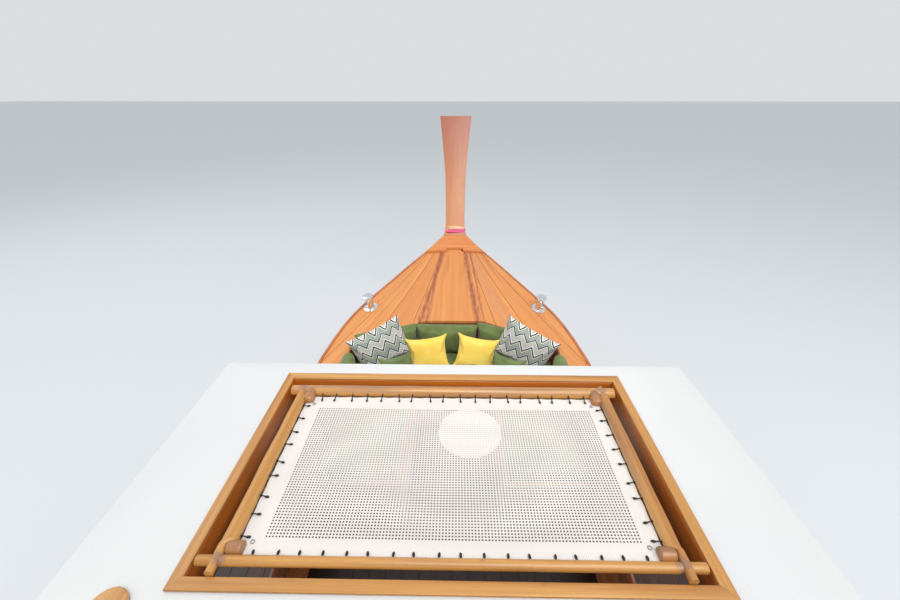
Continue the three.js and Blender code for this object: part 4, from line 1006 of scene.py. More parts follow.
class BOAT_OT_net(bpy.types.Operator):
    """The perforated net, its knots and the cords that lash it to the poles"""

    bl_idname = "boat.net"
    bl_label = "Sun net"

    def execute(self, context):
        sizes = context.scene.boat_sizes
        aft, fore, half = NET_EDGE
        hole_aft, hole_fore, hole_half = NET_HOLES
        rows = NET_ROWS + 2
        columns = NET_COLUMNS + 2
        net = start("net_cloth", "grid", x_subdivisions=rows, y_subdivisions=columns, size=1)
        for vertex in net.data.vertices:
            row = round((vertex.co.x + 0.5) * rows)
            column = round((vertex.co.y + 0.5) * columns)
            x = hole_aft + (hole_fore - hole_aft) * (row - 1) / NET_ROWS
            y = NET_SHIFT - hole_half + 2 * hole_half * (column - 1) / NET_COLUMNS
            if row in (0, rows):
                scallop = 0.0035 * math.sin(math.pi * (y / TOGGLE_PITCH + 0.5)) ** 2
                x = aft + scallop if row == 0 else fore - scallop
                y = y * 1.03
            if column in (0, columns):
                scallop = 0.0025 * math.sin(math.pi * (x - TOGGLE_FIRST) / TOGGLE_SIDE_PITCH) ** 2
                y = math.copysign(half - scallop, column - 1)
                if 0 < row < rows:
                    x = aft + 0.01 + (fore - aft - 0.02) * row / rows
            vertex.co = (x, y, NET_HEIGHT)
        edit(net, "FACE", lambda f: hole_aft < f.calc_center_median().x < hole_fore
             and abs(f.calc_center_median().y - NET_SHIFT) < hole_half)
        bpy.ops.mesh.inset(thickness=sizes.net_web, use_individual=True)
        bpy.ops.mesh.delete(type="FACE")
        object_mode()
        modify(net, "SOLIDIFY", thickness=sizes.net_thickness, offset=0.0)
        for vertex in net.data.vertices:
            vertex.co.z += net_sag(vertex.co.x, vertex.co.y)
        dress(net, "net", stands_for=["sun_net"], angle=40)

        toggles = []
        knot_aft, knot_fore, knot_side = KNOT_PLACES
        ends = [(i - (TOGGLE_ENDS - 1) / 2) * TOGGLE_PITCH for i in range(TOGGLE_ENDS)]
        sides = [TOGGLE_FIRST + i * TOGGLE_SIDE_PITCH for i in range(TOGGLE_SIDES)]
        for places, inset, radius, first_turn in (
                ([(POLE_FORE, y, -90) for y in ends], POLE_FORE - knot_fore, POLE_RADIUS, 152),
                ([(POLE_AFT, y, 90) for y in ends], knot_aft - POLE_AFT, POLE_AFT_RADIUS, 172),
                ([(x, POLE_SIDE, 0) for x in sides] + [(x, -POLE_SIDE, 180) for x in sides],
                 POLE_SIDE - knot_side, POLE_RADIUS - 0.002, 165)):
            shape = lashing(sizes.lashing, sizes.knot, inset, radius, first_turn)
            for i, (x, y, turn) in enumerate(places):
                skew = 9 * math.sin(i * 2.7)
                matrix = (Matrix.Translation((x, y, POLE_HEIGHT - 0.005))
                          @ Matrix.Rotation(math.radians(turn + skew), 4, "Z"))
                toggles.append(again(shape, "toggle", matrix))
            bpy.data.objects.remove(shape)
        dress(join("net_lashings", toggles), "cord", angle=60)

        eyelets = []
        for x in (0.8166, 1.500):
            for side in (-1, 1):
                eyelet = hoop("eyelet", 0.0065, 0.0024, 16, 6)
                eyelet.data.transform(Matrix.Translation((x, side * 0.686, NET_HEIGHT + 0.0015)))
                eyelets.append(eyelet)
        dress(join("net_eyelets", eyelets), "alloy", angle=60)
        return {"FINISHED"}


def seam_number(x, y, seams):
    """Which plank of a tapered set a point lies on, and how far across it."""
    share = (x - FOREDECK_STATIONS[0]) / (FOREDECK_STATIONS[1] - FOREDECK_STATIONS[0])
    edges = [a + (b - a) * share for a, b in seams]
    for i, edge in enumerate(edges):
        if abs(y) < edge:
            low = edges[i - 1] if i else 0.0
            return i, (abs(y) - low) / max(0.01, edge - low)
    return len(edges), (abs(y) - edges[-1]) / 0.3


class BOAT_OT_decks(bpy.types.Operator):
    """Planked foredeck, side decks, king plank, breasthook and the coamings under them"""

    bl_idname = "boat.decks"
    bl_label = "Decks"

    def execute(self, context):
        sizes = context.scene.boat_sizes
        woods = ["deck", "caulk"]
        first, last = FOREDECK_STATIONS
        king = (0.213, 0.132)
        for side, port in ((1, "port"), (-1, "starboard")):
            deck = copy_of(f"foredeck_{port}", f"foredeck_planks_{port}")
            seams = [((first, side * a), (last, side * b)) for a, b in FOREDECK_SEAMS]
            groove(deck, seams, sizes.seam_width, sizes.seam_depth)

            def place(co, side=side):
                number, share = seam_number(co.x, co.y, (king, *FOREDECK_SEAMS))
                return co.x, number * 0.31 + share * 0.26 + (0.4 if side > 0 else 2.9), number * 3 + side

            lay_grain(deck, place)
            dress(deck, woods, stands_for=[f"foredeck_{port}"])

            deck = copy_of(f"side_deck_{port}", f"side_deck_planks_{port}")
            seams = [((-6.3, side * y), (3.35, side * y)) for y in (1.02, 1.14, 1.26, 1.38, 1.50)]
            groove(deck, seams, sizes.seam_width, sizes.seam_depth)

            def place_side(co, side=side):
                number = math.floor((abs(co.y) - 0.9) / 0.12)
                reach = math.floor((co.x + number * 1.37) / 3.2)
                return co.x, abs(co.y) + side * 4, number * 5 + reach * 7 + side

            lay_grain(deck, place_side)
            dress(deck, ["side", "caulk"], stands_for=[f"side_deck_{port}"])

        plank = copy_of("king_plank", "king_plank_board")
        lay_grain(plank, lambda co: (co.x, co.y, 2))
        dress(plank, woods, stands_for=["king_plank"])

        board("breasthook", "breasthook_board", "hook", "teak", 0.006, sharp=0.9)
        for port in ("port", "starboard"):
            board(f"rub_rail_{port}", f"rub_rail_moulding_{port}", "rail", "teak", 0.008, sharp=0.6,
                  angle=40)
            board(f"coaming_{port}", f"well_coaming_{port}", "dark_x", "teak", 0.004, 2)
        return {"FINISHED"}


class BOAT_OT_stem(bpy.types.Operator):
    """Tall stem post with eased edges and the satin scarf wound round it"""

    bl_idname = "boat.stem"
    bl_label = "Stem"

    def execute(self, context):
        post = copy_of("stem_post", "stem_timber")
        ease(post, 0.005, 3, 0.5)
        # Scarf joint: a shallow step where the head is let into the post
        tilt = Vector((0.12, 0.03, 1)).normalized()
        for rise in (0.0, 0.004):
            score(post, (6.18, 0, 2.672 + rise), tilt)

        def in_joint(face):
            level = (face.calc_center_median() - Vector((6.18, 0, 2.672))).dot(tilt)
            return 0 < level < 0.0042 and abs(face.normal.z) < 0.9

        edit(post, "FACE", in_joint)
        bpy.ops.mesh.extrude_region_shrink_fatten(TRANSFORM_OT_shrink_fatten={"value": -0.003})
        object_mode()
        dress(post, "stem", stands_for=["stem_post"], angle=35)

        scarf = copy_of("stem_ribbon", "stem_scarf")
        low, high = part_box("stem_ribbon")
        turns = 13
        for i in range(1, turns):
            height = low.z + (high.z - low.z) * i / turns
            normal = Vector((0.06 * math.sin(i * 1.9), 0.05 * math.cos(i * 2.3), 1)).normalized()
            score(scarf, ((low.x + high.x) / 2, 0, height), normal)
        centre = (low + high) / 2
        for vertex in scarf.data.vertices:
            level = (vertex.co.z - low.z) / (high.z - low.z) * turns
            out = vertex.co - Vector((centre.x + (vertex.co.z - centre.z) * 0.62, 0, vertex.co.z))
            ridge = 0.0035 * math.cos(level * math.pi) + 0.002 * noise(vertex.co * 30)
            if out.length > 0:
                vertex.co += out.normalized() * ridge
        modify(scarf, "SUBSURF", levels=1, render_levels=1)
        dress(scarf, "ribbon", stands_for=["stem_ribbon"], angle=60)
        return {"FINISHED"}


class BOAT_OT_bollards(bpy.types.Operator):
    """Polished mooring posts with mushroom caps, cross bars and bolted flanges"""

    bl_idname = "boat.bollards"
    bl_label = "Bollards"

    def execute(self, context):
        profile = ((0.092, -0.006), (0.092, 0.008), (0.086, 0.011), (0.060, 0.013), (0.050, 0.019),
                   (0.046, 0.040), (0.045, 0.160), (0.050, 0.170), (0.064, 0.175), (0.068, 0.182),
                   (0.064, 0.190), (0.046, 0.197), (0.020, 0.200), (0.001, 0.2005))
        bolt_head = ((0.009, 0.008), (0.009, 0.013), (0.006, 0.0155), (0.001, 0.016))
        for side, port in ((1, "port"), (-1, "starboard")):
            low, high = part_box(f"bollard_{port}")
            x, y = 4.535, side * 1.090
            step = 0.05
            slope_x = (deck_height(x + step, y) - deck_height(x - step, y)) / (2 * step)
            slope_y = (deck_height(x, y + step) - deck_height(x, y - step)) / (2 * step)
            up = Vector((-slope_x, -slope_y, 1)).normalized()
            along = Vector((1, 0, slope_x)).normalized()
            across = up.cross(along).normalized()
            stand = Matrix.Translation((x, y, deck_height(x, y))) @ Matrix(
                (along, across, along.cross(across))).transposed().to_4x4()
            parts = [turned("post", profile, 40)]
            parts.append(rod("bar", (-0.118, 0, 0.118), (0.118, 0, 0.118), 0.013, 20))
            for end in (-1, 1):
                parts.append(start("ball", "uv_sphere", segments=20, ring_count=12, radius=0.021,
                                   location=(end * 0.118, 0, 0.118)))
            for i in range(4):
                turn = math.radians(45 + 90 * i)
                place = (0.074 * math.cos(turn), 0.074 * math.sin(turn), 0)
                parts.append(turned("bolt", bolt_head, 12, Matrix.Translation(place)))
            post = join(f"bollard_casting_{port}", parts)
            post.data.transform(stand)
            dress(post, "steel", stands_for=[f"bollard_{port}"], angle=40)
        return {"FINISHED"}


# The sheer's height along the boat. Columns: x, z
SHEER = ((-6.300, 1.000), (-5.000, 0.940), (-3.500, 0.900), (-1.500, 0.890), (0.500, 0.910), (2.200, 0.985),
         (3.350, 1.065), (4.000, 1.170), (4.440, 1.280), (4.800, 1.375), (5.100, 1.470), (5.380, 1.565),
         (5.640, 1.690), (5.850, 1.800))
STRAKE = 0.135
SEAM_DEPTH = 0.004


def sheer_line():
    """The sheer as a smooth line through its stations."""
    line = rounded([(x, 0, z) for x, z in SHEER], 8)
    return [point.x for point in line], [point.z for point in line]


def along_line(line, x):
    xs, zs = line
    if x <= xs[0]:
        return zs[0]
    for i in range(1, len(xs)):
        if x <= xs[i]:
            return zs[i - 1] + (zs[i] - zs[i - 1]) * (x - xs[i - 1]) / (xs[i] - xs[i - 1])
    return zs[-1]


class BOAT_OT_hull(bpy.types.Operator):
    """Carvel planked hull with seams that follow the sheer, transom, keel and engine beam"""

    bl_idname = "boat.hull"
    bl_label = "Hull"

    def execute(self, context):
        hull = copy_of("hull_shell", "hull_planking")
        line = sheer_line()
        skin = surface_of(["hull_shell"])
        # The hull is sheared so that its sheer lies level, cut along level seams and sheared back
        for vertex in hull.data.vertices:
            vertex.co.z -= along_line(line, vertex.co.x)
        level_skin = BVHTree.FromPolygons([vertex.co.copy() for vertex in hull.data.vertices],
                                          [tuple(face.vertices) for face in hull.data.polygons])
        for i in range(1, 12):
            level = -i * STRAKE
            for offset in (-0.003, 0.003):
                score(hull, (0, 0, level + offset), UP)

            def on_seam(face, level=level):
                centre = face.calc_center_median()
                inside = face.normal.y * centre.y < 0
                above = centre.z + along_line(line, centre.x) > -0.3
                return above and not inside and abs(centre.z - level) < 0.0028 and abs(face.normal.z) < 0.8

            edit(hull, "FACE", on_seam)
            bpy.ops.mesh.extrude_region_move(TRANSFORM_OT_translate={"value": (0, 0, 0)})
            object_mode()
            for vertex in hull.data.vertices:
                if vertex.select:
                    vertex.co -= level_skin.find_nearest(vertex.co)[1] * SEAM_DEPTH
        for vertex in hull.data.vertices:
            sunk = level_skin.find_nearest(vertex.co)[3] > SEAM_DEPTH / 2
            vertex.co.z += along_line(line, vertex.co.x)
            place, normal = skin.find_nearest(vertex.co)[:2]
            vertex.co = place - normal * SEAM_DEPTH if sunk else place

        def place(co):
            depth = along_line(line, co.x) - co.z
            number = math.floor(depth / STRAKE)
            return co.x, depth, number * 3 + (20 if co.y > 0 else 0)

        lay_grain(hull, place)
        dress(hull, "hull", stands_for=["hull_shell"], angle=35)
        cover(["keel", "fore_bulkhead"], "dark_x")
        board("transom", "transom_boards", "dark_y", "dark_teak", 0.004)
        board("engine_bed", "engine_beam", "dark_y", "dark_teak", 0.008)
        return {"FINISHED"}


class BOAT_OT_inside(bpy.types.Operator):
    """Floor boards, benches, the lounge bench and the round table"""

    bl_idname = "boat.inside"
    bl_label = "Inside"

    def execute(self, context):
        sole = copy_of("cabin_sole", "sole_boards")
        groove(sole, [((-4.2, i * 0.14), (4.3, i * 0.14)) for i in range(-8, 9)], 0.006, 0.004)
        lay_grain(sole, lambda co: (co.x, co.y, math.floor(co.y / 0.14)))
        dress(sole, ["sole", "rubber"], stands_for=["cabin_sole"])
        deck = copy_of("aft_deck", "aft_deck_boards")
        groove(deck, [((-6.3, i * 0.14), (-4.1, i * 0.14)) for i in range(-8, 9)], 0.006, 0.004)
        lay_grain(deck, lambda co: (co.x, co.y, math.floor(co.y / 0.14) + 30))
        dress(deck, ["deck", "caulk"], stands_for=["aft_deck"])
        for port in ("port", "starboard"):
            board(f"bench_{port}", f"bench_frame_{port}", "bench_wood", "pale_teak", 0.003, 2)
        board("lounge_bench", "lounge_bench_frame", "coaming_x", "pale_teak", 0.003, 2)

        table = copy_of("lounge_table", "lounge_table_top")
        ease(table, 0.003, 2, 1.0)
        for face in table.data.polygons:
            face.material_index = 0 if face.center.z > 0.9 else 1
        dress(table, ["laminate", "black"], stands_for=["lounge_table"])
        return {"FINISHED"}


def stuff(piece, pressure, frames, reach):
    """Fills a closed cover with the cloth simulation and keeps every point within reach of its start."""
    scene = bpy.context.scene
    before = [vertex.co.copy() for vertex in piece.data.vertices]
    cloth = piece.modifiers.new("cloth", "CLOTH")
    cloth.settings.use_pressure = True
    cloth.settings.uniform_pressure_force = pressure
    cloth.settings.effector_weights.gravity = 0
    cloth.settings.quality = 4
    cloth.collision_settings.use_collision = False
    cloth.point_cache.frame_start = 1
    cloth.point_cache.frame_end = frames
    for frame_number in range(1, frames + 1):
        scene.frame_set(frame_number)
    only(piece)
    bpy.ops.object.modifier_apply(modifier=cloth.name)
    scene.frame_set(1)
    for vertex, rest in zip(piece.data.vertices, before):
        move = vertex.co - rest
        if move.length > reach:
            vertex.co = rest + move * (reach / move.length)


class BOAT_OT_cushions(bpy.types.Operator):
    """Foam cushions of the lounge and the cabin benches, filled"""

    bl_idname = "boat.cushions"
    bl_label = "Cushions"

    def execute(self, context):
        frames = context.scene.boat_sizes.cloth_frames
        names = ["seat_pad_centre", "seat_pad_port", "seat_pad_starboard", "side_cushion_port",
                 "side_cushion_starboard", "bench_cushion_port", "bench_cushion_starboard"]
        for node in names:
            cushion = copy_of(node, f"{node}_cover")
            long = "bench" in node
            modify(cushion, "REMESH", mode="VOXEL", voxel_size=0.024 if long else 0.016)
            modify(cushion, "SMOOTH", factor=0.5, iterations=4)
            stuff(cushion, 4.0, frames, 0.022)
            modify(cushion, "SUBSURF", levels=1, render_levels=1)
            # The bench cushions take the bench cloth, near black with painted shade
            dress(cushion, "bench" if long else "green", stands_for=[node], angle=60)
        return {"FINISHED"}


# Pillows and back cushions, cut larger than they end, since filling draws their sides in.
# Columns: CAD node, width, height, thickness, turn, lean, roll, cloth, fill, how far the sides
# pull in against the usual, how boxy it is and how far it is pushed inboard
PILLOWS = (
    ("yellow_pillow_port", 0.525, 0.450, 0.130, 0, 20, 8, "yellow", 0.7, 0.8, 0.42, 0.0),
    ("yellow_pillow_starboard", 0.525, 0.450, 0.130, 0, 20, -10, "yellow", 0.7, 0.8, 0.42, 0.012),
    ("chevron_pillow_port", 0.690, 0.560, 0.140, 22, 10, 19, "chevron", 0.75, 0.5, 0.42, 0.012),
    ("chevron_pillow_starboard", 0.690, 0.560, 0.140, -22, 10, -20, "chevron", 0.75, 0.5, 0.42, 0.02),
    ("green_pillow_port", 0.400, 0.440, 0.110, 8, 30, 10, "green", 0.6, 0.8, 0.42, 0.045),
    ("green_pillow_starboard", 0.400, 0.440, 0.110, -8, 30, -12, "green", 0.6, 0.8, 0.42, 0.045),
    ("back_cushion_centre", 0.800, 0.450, 0.165, 0, 1, 0, "green", 0.8, 0.1, 0.27, 0.0),
    ("back_cushion_port", 0.790, 0.470, 0.165, 19.5, 1, 1, "green", 0.8, 0.1, 0.27, 0.018),
    ("back_cushion_starboard", 0.790, 0.470, 0.165, -19.5, 1, -1, "green", 0.8, 0.1, 0.27, 0.018),
)
PILLOW_CELLS = 40


def sewn_cover(name, width, height, crown, pull, box, frames):
    """Two square panels sewn at their rim and filled: the sides pull in between pointed corners."""
    piece = start(name, "grid", x_subdivisions=PILLOW_CELLS, y_subdivisions=PILLOW_CELLS, size=2)
    mesh = piece.data
    layer = mesh.uv_layers[0] if mesh.uv_layers else mesh.uv_layers.new(name="cloth")
    layer.name = "cloth"
    for face in mesh.polygons:
        for loop in face.loop_indices:
            co = mesh.vertices[mesh.loops[loop].vertex_index].co
            layer.data[loop].uv = (co.x * width / 2 + 1, co.y * height / 2 + 1)
    modify(piece, "SOLIDIFY", thickness=0.02, offset=0.0)
    for vertex in piece.data.vertices:
        u, v = vertex.co.x, vertex.co.y
        face = 1 if vertex.co.z > 0 else -1
        dome = max(0.0, (1 - u * u) * (1 - v * v)) ** box
        crease = 1 + 0.06 * noise(Vector((u * 3, v * 3, face * 2 + width * 9)))
        vertex.co.x = u * width / 2 * (1 - pull * (1 - v * v) * abs(u))
        vertex.co.y = v * height / 2 * (1 - pull * (1 - u * u) * abs(v))
        vertex.co.z = face * (0.003 + crown / 2 * 0.8 * dome * crease)
    stuff(piece, 3.0, frames, 0.035)
    modify(piece, "SUBSURF", levels=1, render_levels=1)
    return piece


class BOAT_OT_pillows(bpy.types.Operator):
    """Loose pillows, two yellow, two zigzag and two small green ones, and the three back cushions"""

    bl_idname = "boat.pillows"
    bl_label = "Pillows"

    def execute(self, context):
        sizes = context.scene.boat_sizes
        for node, width, height, crown, turn, lean, roll, cloth, fill, pull, box, inboard in PILLOWS:
            low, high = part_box(node)
            piece = sewn_cover(f"{node}_cover", width, height, crown, sizes.pillow_pull * pull, box,
                               sizes.cloth_frames)
            stand = Matrix(((0, 0, -1, 0), (-1, 0, 0, 0), (0, 1, 0, 0), (0, 0, 0, 1)))
            for degrees, axis in ((-roll, "X"), (lean, "Y"), (turn, "Z")):
                stand = Matrix.Rotation(math.radians(degrees), 4, axis) @ stand
            piece.data.transform(stand)
            corners = [vertex.co for vertex in piece.data.vertices]
            base = min(co.z for co in corners)
            middle = [(min(co[k] for co in corners) + max(co[k] for co in corners)) / 2 for k in (0, 1)]
            target = (low + high) / 2
            target.y -= math.copysign(inboard, target.y)
            move = (target.x - middle[0], target.y - middle[1], low.z - base)
            piece.data.transform(Matrix.Translation(move))
            dress(piece, cloth, stands_for=[node], angle=70)
        return {"FINISHED"}


SHAFT = -0.060
LYING = Matrix(((0, 0, 1, 0), (0, 1, 0, 0), (-1, 0, 0, SHAFT), (0, 0, 0, 1)))
CYLINDERS = (0.165, 0.315, 0.465, 0.615)

# Profiles turned about the shaft. Columns: radius, distance along it
HOUSING_PROFILE = (
    (0.070, -0.178), (0.094, -0.1775), (0.096, -0.172), (0.096, -0.164), (0.083, -0.158), (0.090, -0.120),
    (0.108, -0.060), (0.136, 0.016), (0.145, 0.036), (0.160, 0.040), (0.163, 0.046), (0.163, 0.0612),
)
PULLEY_PROFILE = (
    (0.030, 0.7606), (0.100, 0.7606), (0.104, 0.763), (0.104, 0.770), (0.090, 0.777), (0.090, 0.783),
    (0.104, 0.790), (0.104, 0.796), (0.090, 0.803), (0.090, 0.808), (0.104, 0.814), (0.104, 0.8195),
    (0.086, 0.8195), (0.082, 0.806), (0.034, 0.804), (0.030, 0.816), (0.018, 0.8165),
)
ALTERNATOR_PROFILE = (
    (0.020, 0.664), (0.046, 0.668), (0.055, 0.676), (0.055, 0.716), (0.052, 0.718), (0.052, 0.722),
    (0.055, 0.724), (0.055, 0.760), (0.044, 0.768), (0.012, 0.769), (0.012, 0.772), (0.037, 0.772),
    (0.037, 0.776), (0.030, 0.780), (0.037, 0.786), (0.037, 0.791), (0.014, 0.792),
)
HUB_PROFILE = (
    (0.012, -4.352), (0.024, -4.350), (0.030, -4.334), (0.030, -4.322), (0.036, -4.318), (0.041, -4.290),
    (0.0415, -4.200), (0.040, -4.160), (0.036, -4.1506),
)

# Middle lines of the bent pipes in the engine's frame, in millimetres
EXHAUST_PATH = ((600, 150, 240), (600, 200, 248), (560, 258, 290), (420, 268, 380), (180, 268, 400),
                (-260, 268, 420))
TILLER_PATH = ((700, -262.6, -148), (840, -322, -140), (1100, -480, -120), (1902, -1051, -190))


def about_shaft(name, profile, sides):
    """A body of revolution about the shaft; rows are radius and distance along it."""
    return turned(name, profile, sides, LYING)


def open_ends(piece):
    """Takes the end discs off a turned body."""
    edit(piece, "FACE", lambda f: len(f.verts) > 8)
    bpy.ops.mesh.delete(type="ONLY_FACE")
    object_mode()


def bolt(place, normal, radius=0.009, height=0.007):
    """Hexagon bolt head with a washer, standing on a surface."""
    head = turned("bolt", ((radius * 1.45, 0.0), (radius * 1.45, 0.002), (radius, 0.002), (radius, height),
                           (radius * 0.8, height + 0.0012)), 6)
    head.data.transform(facing(place, normal))
    return head


def bolts(name, places, normal, radius=0.009, height=0.007):
    return join(name, [bolt(place, normal, radius, height) for place in places])


def on_tail(piece, finish, stands_for=(), body="engine", angle=40.0):
    """Tips a piece made about the level shaft to its rest on the trunnion and finishes it."""
    piece.data.transform(TAIL_FRAME)
    return dress(piece, finish, body, stands_for, angle)


def tail_copy(node, name, edge):
    """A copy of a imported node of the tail, brought level, with its edges eased."""
    piece = copy_of(node, name)
    piece.data.transform(TAIL_FRAME.inverted())
    ease(piece, edge, 2, 1.0)
    return piece


class BOAT_OT_engine_block(bpy.types.Operator):
    """Cast iron block with ribs, core plugs, sump, starter, filter and mounts"""

    bl_idname = "boat.engine_block"
    bl_label = "Engine block"

    def execute(self, context):
        parts = [block("block", (0.062, -0.150, -0.110), (0.760, 0.150, 0.160), 0.012, 3),
                 block("deck", (0.066, -0.166, 0.118), (0.756, 0.166, 0.159), 0.006, 2),
                 block("skirt", (0.062, -0.170, -0.125), (0.760, 0.170, -0.072), 0.008, 3)]
        for side in (-1, 1):
            for i in range(9):
                x = 0.092 + i * 0.080
                parts.append(block("rib", (x - 0.006, side * 0.158 - 0.010, -0.080),
                                   (x + 0.006, side * 0.158 + 0.010, 0.125), 0.003, 2))
            parts.append(block("gallery", (0.080, side * 0.156 - 0.016, 0.010),
                               (0.744, side * 0.156 + 0.016, 0.042), 0.012, 3))
            for x in CYLINDERS:
                seat = (Matrix.Translation((x - 0.033, side * 0.1495, 0.085))
                        @ Matrix.Rotation(-side * math.pi / 2, 4, "X"))
                cup = ((0.024, 0.0), (0.024, 0.006), (0.019, 0.006), (0.019, 0.002))
                parts.append(turned("plug", cup, 20, seat))
        on_tail(join("block_casting", parts), "enamel", ["engine_block"])

        sump = block("sump", (0.078, -0.140, -0.214), (0.744, 0.140, -0.132), 0.022, 4)
        flange = block("flange", (0.062, -0.168, -0.133), (0.760, 0.168, -0.1252), 0.003, 2)
        edit(sump, "FACE", lambda f: f.normal.z < -0.9)
        bpy.ops.mesh.inset(thickness=0.02, depth=-0.004)
        object_mode()
        places = [(0.085 + i * 0.071, side * 0.155, -0.133) for i in range(10) for side in (-1, 1)]
        screws = bolts("pan_bolts", places, (0, 0, -1), 0.006, 0.005)
        drain = bolt((0.62, 0, -0.214), (0, 0, -1), 0.012, 0.008)
        on_tail(join("oil_sump", [sump, flange, screws, drain]), "black")

        starter = about_shaft("starter", ((0.020, 0.066), (0.038, 0.070), (0.038, 0.180), (0.034, 0.186),
                                          (0.034, 0.222), (0.012, 0.226)), 28)
        starter.data.transform(Matrix.Translation((0, -0.207, 0.006)))
        solenoid = rod("solenoid", (0.080, -0.196, -0.002), (0.160, -0.196, -0.002), 0.020, 20, edge=0.004)
        filter_can = rod("filter", (0.440, -0.166, -0.020), (0.440, -0.246, -0.020), 0.038, 32, edge=0.008)
        ring = hoop("seal", 0.036, 0.004, 32, 8)
        place = Matrix.Translation((0.440, -0.172, -0.020))
        ring.data.transform(place @ Matrix.Rotation(math.pi / 2, 4, "X"))
        on_tail(join("starter_and_filter", [starter, solenoid, filter_can, ring]), "black")

        mounts = []
        for x in (0.20, 0.64):
            for side in (-1, 1):
                mounts.append(rod("mount", (x, side * 0.240, -0.1278), (x, side * 0.240, -0.1000), 0.020, 20,
                                  edge=0.004))
                mounts.append(block("foot", (x - 0.026, side * 0.205 - 0.058, -0.1000),
                                    (x + 0.026, side * 0.205 + 0.058, -0.0900), 0.003, 2))
                mounts.append(bolt((x, side * 0.240, -0.0900), (0, 0, 1), 0.010, 0.008))
        on_tail(join("engine_mounts", mounts), "rubber")
        return {"FINISHED"}


class BOAT_OT_engine_head(bpy.types.Operator):
    """Alloy head with its rocker cover, intake, plug leads, manifold and open exhaust"""

    bl_idname = "boat.engine_head"
    bl_label = "Engine head"

    def execute(self, context):
        parts = [block("head", (0.080, -0.118, 0.1605), (0.740, 0.118, 0.250), 0.008, 3)]
        for x in CYLINDERS:
            runner = swept("runner", rounded([(x, -0.105, 0.205), (x, -0.140, 0.210), (x, -0.172, 0.226),
                                              (x, -0.190, 0.246)]), 0.019, 16)
            parts.append(runner)
            parts.append(block("port", (x - 0.030, -0.128, 0.180), (x + 0.030, -0.114, 0.234), 0.005, 2))
            parts.append(block("port", (x - 0.026, 0.112, 0.182), (x + 0.026, 0.126, 0.230), 0.005, 2))
        parts.append(rod("plenum", (0.128, -0.192, 0.252), (0.668, -0.192, 0.252), 0.033, 28, edge=0.012))
        parts.append(rod("throttle", (0.664, -0.192, 0.252), (0.700, -0.192, 0.252), 0.026, 24, edge=0.004))
        on_tail(join("head_casting", parts), "alloy", ["cylinder_head"])

        cover = block("cover", (0.096, -0.084, 0.2498), (0.724, 0.084, 0.322), 0.016, 4)
        rim = block("rim", (0.088, -0.094, 0.2500), (0.732, 0.094, 0.258), 0.003, 2)
        raised = [block("fin", (0.130, y - 0.004, 0.316), (0.560, y + 0.004, 0.328), 0.003, 2)
                  for y in (-0.055, -0.033, 0.033, 0.055)]
        fixings = bolts("cover_bolts", [(0.110 + i * 0.1205, side * 0.088, 0.258) for i in range(6)
                                        for side in (-1, 1)], (0, 0, 1), 0.006, 0.005)
        lid = ((0.028, 0.316), (0.030, 0.322), (0.030, 0.336), (0.024, 0.341), (0.008, 0.341))
        cap = turned("oil_cap", lid, 12, Matrix.Translation((0.640, 0, 0)))
        on_tail(join("rocker_cover", [cover, rim, cap, fixings, *raised]), "enamel")

        leads = [block("coils", (0.582, -0.068, 0.320), (0.612, 0.020, 0.344), 0.004, 2)]
        for i, x in enumerate(CYLINDERS):
            leads.append(rod("boot", (x - 0.033, 0, 0.316), (x - 0.033, 0, 0.338), 0.012, 16, edge=0.003))
            y = -0.050 + i * 0.018
            leads.append(swept("lead", rounded([(x - 0.033, 0.0, 0.334), (x - 0.030, 0.0, 0.352),
                                                (x, y * 0.6, 0.357), (0.560, y, 0.350), (0.590, y, 0.338)]),
                               0.0035, 8))
        on_tail(join("plug_leads", leads), "rubber", angle=60)

        path = [Vector(p) / 1000 for p in EXHAUST_PATH]
        pipe = swept("exhaust_bend", rounded(path, 10), 0.034, 32)
        tip = path[-1]
        edit(pipe, "FACE", lambda f: (f.calc_center_median() - tip).length < 0.012 and f.normal.x < -0.9)
        bpy.ops.mesh.inset(thickness=0.004)
        bpy.ops.mesh.extrude_region_move(TRANSFORM_OT_translate={"value": (0.16, 0, -0.007)})
        object_mode()
        parts = [pipe, rod("log", (0.140, 0.170, 0.222), (0.624, 0.170, 0.222), 0.027, 24, edge=0.010)]
        for x in CYLINDERS:
            bend = rounded([(x, 0.118, 0.206), (x, 0.140, 0.207), (x, 0.162, 0.214)])
            parts.append(swept("port_pipe", bend, 0.021, 16))
        for place, normal in ((Vector((0.420, 0.268, 0.380)), (-0.55, 0, 0.35)),
                              (Vector((0.180, 0.268, 0.400)), (-1, 0, 0.08)),
                              (Vector((-0.060, 0.268, 0.411)), (-1, 0, 0.05))):
            clamp = hoop("clamp", 0.035, 0.004, 32, 8)
            clamp.data.transform(facing(place, normal))
            parts.append(clamp)
        # Stays that hold the pipe to the rail
        stay = rounded([(0.180, 0.262, 0.366), (0.180, 0.250, 0.300), (0.190, 0.244, 0.060),
                        (0.200, 0.242, -0.1278)])
        parts.append(swept("stay", stay, 0.008, 10))
        on_tail(join("exhaust_and_manifold", parts), "rust", ["exhaust_pipe"], angle=50)
        return {"FINISHED"}


